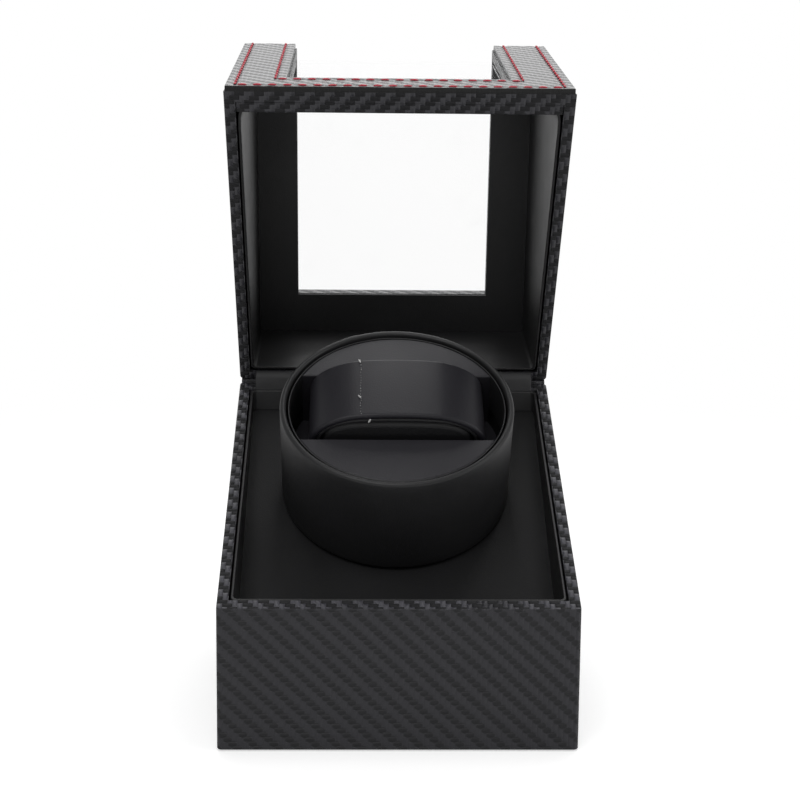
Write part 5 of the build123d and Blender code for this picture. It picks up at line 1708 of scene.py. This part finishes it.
# ------------------------------------------------------------------------------ hinge strip
@dataclass
class HingeStrip:
    """The strips that close the joint: one inside the box, and two short ones behind its walls.

    Attributes:
        thickness: of the cloth, in mm.
        cell: size of its mesh across the box, in mm.
        crease: how far its folds stand out, in mm.
        stand: how far the inner strip lies behind the front of the room it has, in mm.
        over: how far it runs up past the hinge before it bends, in mm.
        bend: radius of that bend, in mm.
        bend_turn: how far it bends, in degrees.
        tail_step: length of each stretch past the bend, in mm.
        tail_slope: slope of these stretches, in degrees.
        fold_reach: how far from the hinge the folds reach, in mm.
        fold_ends: how far from the strip's ends they are deeper, in mm.
        still: how far below the hinge the strip starts to follow the lid, in mm; not used.
        taken: how far behind and above the hinge the strip follows the lid in full, in mm; not used.
        ear: how far the back strips reach past the inner one, in mm.
        flap: how far the back strips are stuck to each wall, in mm.
        slit: how far from the hinge's height each flap starts, in mm.
        back_stand: how far the back strips stand off the walls, in mm.
        pin_room: room between them and the hinge pins' ends, in mm.
    """

    thickness: float = 0.45
    cell: float = 0.8
    crease: float = 0.22
    stand: float = 0.05
    over: float = 0.6
    bend: float = 3.6
    bend_turn: float = 80.0
    tail_step: float = 0.8
    tail_slope: float = 10.0
    fold_reach: float = 4.5
    fold_ends: float = 9.0
    still: float = 2.0
    taken: tuple = (2.5, 3.0)
    ear: float = 5.9
    flap: float = 5.4
    slit: float = 0.4
    back_stand: float = 0.3
    pin_room: float = 1.5

    def build(self) -> None:
        """Make both strips, which bend between the base and the lid."""
        low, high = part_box("hinge_strip")
        self.half = high.x / MM
        self.front = low.y / MM
        self.foot = low.z / MM
        self.inner()
        self.outer()

    def ribbon(
        self, name: str, path: list, left: float, right: float, finish: Finish, fold: Callable
    ) -> bpy.types.Object:
        """Make a ribbon that runs across the box.

        Args:
            name: the piece's name.
            path: y and z of its section, in mm.
            left: where it starts across the box, in mm.
            right: where it ends, in mm.
            finish: its finish.
            fold: gives how far a point of its face is pushed, in mm.

        Returns:
            The ribbon's object, as one sheet with its thickness.
        """
        mesh = bmesh.new()
        verts = [mesh.verts.new((left, y, z)) for y, z in path]
        edges = [mesh.edges.new(pair) for pair in zip(verts, verts[1:])]
        steps = round((right - left) / self.cell)
        for _ in range(steps):
            grown = bmesh.ops.extrude_edge_only(mesh, edges=edges)["geom"]
            moved = [g for g in grown if isinstance(g, bmesh.types.BMVert)]
            edges = [g for g in grown if isinstance(g, bmesh.types.BMEdge)]
            bmesh.ops.translate(mesh, verts=moved, vec=((right - left) / steps, 0, 0))
        bmesh.ops.recalc_face_normals(mesh, faces=mesh.faces)
        if sum(f.normal.y for f in mesh.faces) > 0:
            bmesh.ops.reverse_faces(mesh, faces=mesh.faces)
        mesh.normal_update()
        for vert, normal in [(v, v.normal.copy()) for v in mesh.verts]:
            vert.co += normal * fold(vert.co)
        bmesh.ops.scale(mesh, vec=(MM, MM, MM), verts=mesh.verts)
        made = piece(name, mesh, finish, smooth=60)
        thick = made.modifiers.new("cloth", "SOLIDIFY")
        thick.thickness = self.thickness * MM
        thick.offset = -1
        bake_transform(made)
        return made

    def inner(self) -> bpy.types.Object:
        """Make the strip inside, a little slack, with small folds where it turns the corner.

        Returns:
            The piece.
        """
        line = self.front + self.stand
        hinge_z = HINGE.z / MM
        path = [(line, self.foot + k * (hinge_z + self.over - self.foot) / 8) for k in range(9)]
        top = path[-1][1]
        for k in range(1, 9):
            turn = math.radians(self.bend_turn) * k / 8
            path.append((line + self.bend * (1 - math.cos(turn)), top + self.bend * math.sin(turn)))
        y, z = path[-1]
        slope = math.radians(self.tail_slope)
        for k in range(1, 5):
            run = k * self.tail_step
            path.append((y + run * math.cos(slope), z + run * math.sin(slope)))

        def fold(spot: Vector) -> float:
            """How far a point of the strip stands out.

            Args:
                spot: the point, in mm.

            Returns:
                The height of the folds there, in mm.
            """
            near = max(0.0, 1 - ((spot.z - hinge_z) / self.fold_reach) ** 2)
            end = max(0.0, (abs(spot.x) - self.half + self.fold_ends) / self.fold_ends)
            edge = 0.35 + 0.65 * end**2
            ripple = noise.noise(Vector((spot.x * 0.06, 0, spot.z * 0.5)))
            pleat = noise.noise(Vector((spot.x * 0.5, 3, spot.z * 0.9)))
            return near * self.crease * (ripple + pleat * edge) * 0.9

        made = self.ribbon("joint_strip", path, -self.half, self.half, Finish.STRIP, fold)
        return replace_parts(made, "hinge_strip")

    def outer(self) -> None:
        """Make the short strips behind, past the hinges, which close the slit at both ends."""
        back = max(v.co.y for v in frame["nodes"]["base_carcass"].data.vertices) / MM
        hinge_z = HINGE.z / MM
        line, step = back + self.back_stand, (self.flap - self.slit) / 4
        path = [(line, hinge_z - self.flap + k * step) for k in range(5)]
        for k in range(5):
            spot = OPEN_LID @ (Vector((0, line, hinge_z + self.slit + k * step)) * MM) / MM
            path.append((spot.y, spot.z))
        hinge_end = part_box("hinge_pins")[1].x / MM
        near, far = hinge_end + self.pin_room, self.half + self.ear
        self.ribbon("joint_end_left", path, -far, -near, Finish.BASE_SHELL, lambda spot: 0.0)
        self.ribbon("joint_end_right", path, near, far, Finish.BASE_SHELL, lambda spot: 0.0)


# ------------------------------------------------------------------------------ stage
@dataclass
class Stage:
    """Floor, light and camera.

    Attributes:
        lens: focal length on a 36 mm frame.
        eye: where the camera stands, in mm.
        pitch: how far it looks down, in degrees.
        yaw: how far it looks towards +X, in degrees.
        roll: its lean, in degrees.
        floor_size: side of the floor, in metres.
        floor_glow: how much of the floor's white is its own light near the box.
        shadow_far: how far from the middle the floor is plain white, in mm.
        shadow_near: how far out the box's shadow shows in full, in mm.
        backdrop: brightness of the backdrop in a reflection.
        room: brightness of the room in front in a reflection.
        backdrop_light: strength of the backdrop's own light.
        room_light: strength of the room's own light.
    """

    lens: float = 77.283
    eye: tuple = (-14.42, -630.37, 214.93)
    pitch: float = 9.213
    yaw: float = 1.4156
    roll: float = -0.5248
    floor_size: float = 12.0
    floor_glow: float = 0.48
    shadow_far: float = 700.0
    shadow_near: float = 200.0
    backdrop: float = 1.0
    room: float = 0.22
    backdrop_light: float = 0.6
    room_light: float = 0.3

    def build(self) -> None:
        """Set the stage."""
        self.camera()
        self.floor()
        self.world()
        self.lamps()
        settings = bpy.context.scene.view_settings
        settings.view_transform = "Standard"

    def camera(self) -> None:
        """Put the camera in its place."""
        pitch, yaw, roll = (math.radians(a) for a in (self.pitch, self.yaw, self.roll))
        ahead = Vector((math.sin(yaw) * math.cos(pitch), math.cos(yaw) * math.cos(pitch), -math.sin(pitch)))
        right = Vector((math.cos(yaw), -math.sin(yaw), 0))
        down = ahead.cross(right)
        leaned_right = right * math.cos(roll) + down * math.sin(roll)
        leaned_down = down * math.cos(roll) - right * math.sin(roll)
        turn = Matrix((leaned_right, -leaned_down, -ahead)).transposed().to_4x4()
        lens = bpy.data.cameras.new("camera")
        lens.lens = self.lens
        lens.sensor_width = 36.0
        lens.clip_start = 0.01
        lens.clip_end = 50.0
        made = bpy.data.objects.new("camera", lens)
        made.matrix_world = Matrix.Translation(Vector(self.eye) * MM) @ turn
        bpy.context.scene.collection.objects.link(made)
        bpy.context.scene.camera = made

    def floor(self) -> None:
        """Lay the floor: white past the box, and white less the box's shadow close to it."""
        mesh = bmesh.new()
        bmesh.ops.create_grid(mesh, x_segments=1, y_segments=1, size=self.floor_size / 2)
        data = bpy.data.meshes.new("floor")
        mesh.to_mesh(data)
        mesh.free()
        made = bpy.data.objects.new("floor", data)
        bpy.context.scene.collection.objects.link(made)
        s = Shade("floor_white")
        _, x, y, _ = s.place()
        away = (x * x + y * y) ** 0.5
        near = away.ramp(self.shadow_far, self.shadow_near)
        s.finish(Base_Color=(0.8, 0.8, 0.8, 1), Roughness=0.9)
        path = s.node("ShaderNodeLightPath")
        seen = s.value(path.outputs["Is Camera Ray"]).largest(s.value(path.outputs["Is Transmission Ray"]))
        glow = s.node("ShaderNodeEmission", Color=(1, 1, 1, 1), Strength=self.floor_glow)
        both = s.node("ShaderNodeAddShader")
        s.plug(both.inputs[0], s.surface.outputs[0])
        s.plug(both.inputs[1], glow.outputs[0])
        white = s.node("ShaderNodeEmission", Color=(1, 1, 1, 1), Strength=1.0)
        shown = s.node("ShaderNodeMixShader", Fac=near)
        s.plug(shown.inputs[1], white.outputs[0])
        s.plug(shown.inputs[2], both.outputs[0])
        mixed = s.node("ShaderNodeMixShader", Fac=seen)
        s.plug(mixed.inputs[1], s.surface.outputs[0])
        s.plug(mixed.inputs[2], shown.outputs[0])
        s.plug(s.tree.nodes["Material Output"].inputs["Surface"], mixed.outputs[0])
        data.materials.append(s.material)

    def world(self) -> None:
        """Set the surroundings: a white backdrop behind the box and a dimmer room in front of it."""
        world = bpy.data.worlds.new("studio")
        bpy.context.scene.world = world
        world.use_nodes = True
        tree = world.node_tree
        background = tree.nodes["Background"]
        background.inputs["Color"].default_value = (1, 1, 1, 1)
        path = tree.nodes.new("ShaderNodeLightPath")
        seen = Value(tree, path.outputs["Is Camera Ray"])
        seen = seen.largest(Value(tree, path.outputs["Is Transmission Ray"]))
        gloss = Value(tree, path.outputs["Is Glossy Ray"])
        where = tree.nodes.new("ShaderNodeTexCoord")
        parts = tree.nodes.new("ShaderNodeSeparateXYZ")
        tree.links.new(where.outputs["Generated"], parts.inputs[0])
        behind = Value(tree, parts.outputs[1]).ramp(0.45, 0.85)
        room = behind * (self.backdrop - self.room) + self.room
        soft = behind * (self.backdrop_light - self.room_light) + self.room_light
        lit = gloss * (room - soft) + soft
        strength = lit + seen * (1 - lit)
        tree.links.new(strength.socket, background.inputs["Strength"])

    def lamps(self) -> None:
        """Hang the soft lamps."""
        self.lamp("key", (-0.3, -0.9, 1.1), (0, 0, 0.1), 1.0, 8.0)
        self.lamp("top", (0.1, 0.5, 1.4), (0, 0.05, 0.1), 1.0, 6.0)
        self.lamp("right", (1.2, -0.3, 0.6), (0, 0, 0.12), 0.8, 4.0)
        self.lamp("back", (0, 2.3, 1.0), (0, 0, 0.2), 1.6, 7.0)

    def lamp(self, name: str, place: tuple, aim: tuple, size: float, power: float) -> None:
        """Hang one square lamp.

        Args:
            name: its name.
            place: where it hangs, in metres.
            aim: what it points at, in metres.
            size: its side, in metres.
            power: its power, in watts.
        """
        light = bpy.data.lights.new(name, "AREA")
        light.shape = "SQUARE"
        light.size = size
        light.energy = power
        made = bpy.data.objects.new(name, light)
        away = Vector(place) - Vector(aim)
        made.matrix_world = Matrix.Translation(place) @ away.to_track_quat("Z", "Y").to_matrix().to_4x4()
        bpy.context.scene.collection.objects.link(made)


def main() -> None:
    """Build the winder and its stage."""
    logging.basicConfig(level=logging.INFO, format="%(name)s %(message)s")
    for assembly in (Base(), Lid(), Cup(), Pillow(), HingeStrip(), Stage()):
        LOG.info("building %s", type(assembly).__name__)
        assembly.build()


if __name__ == "__main__":
    main()
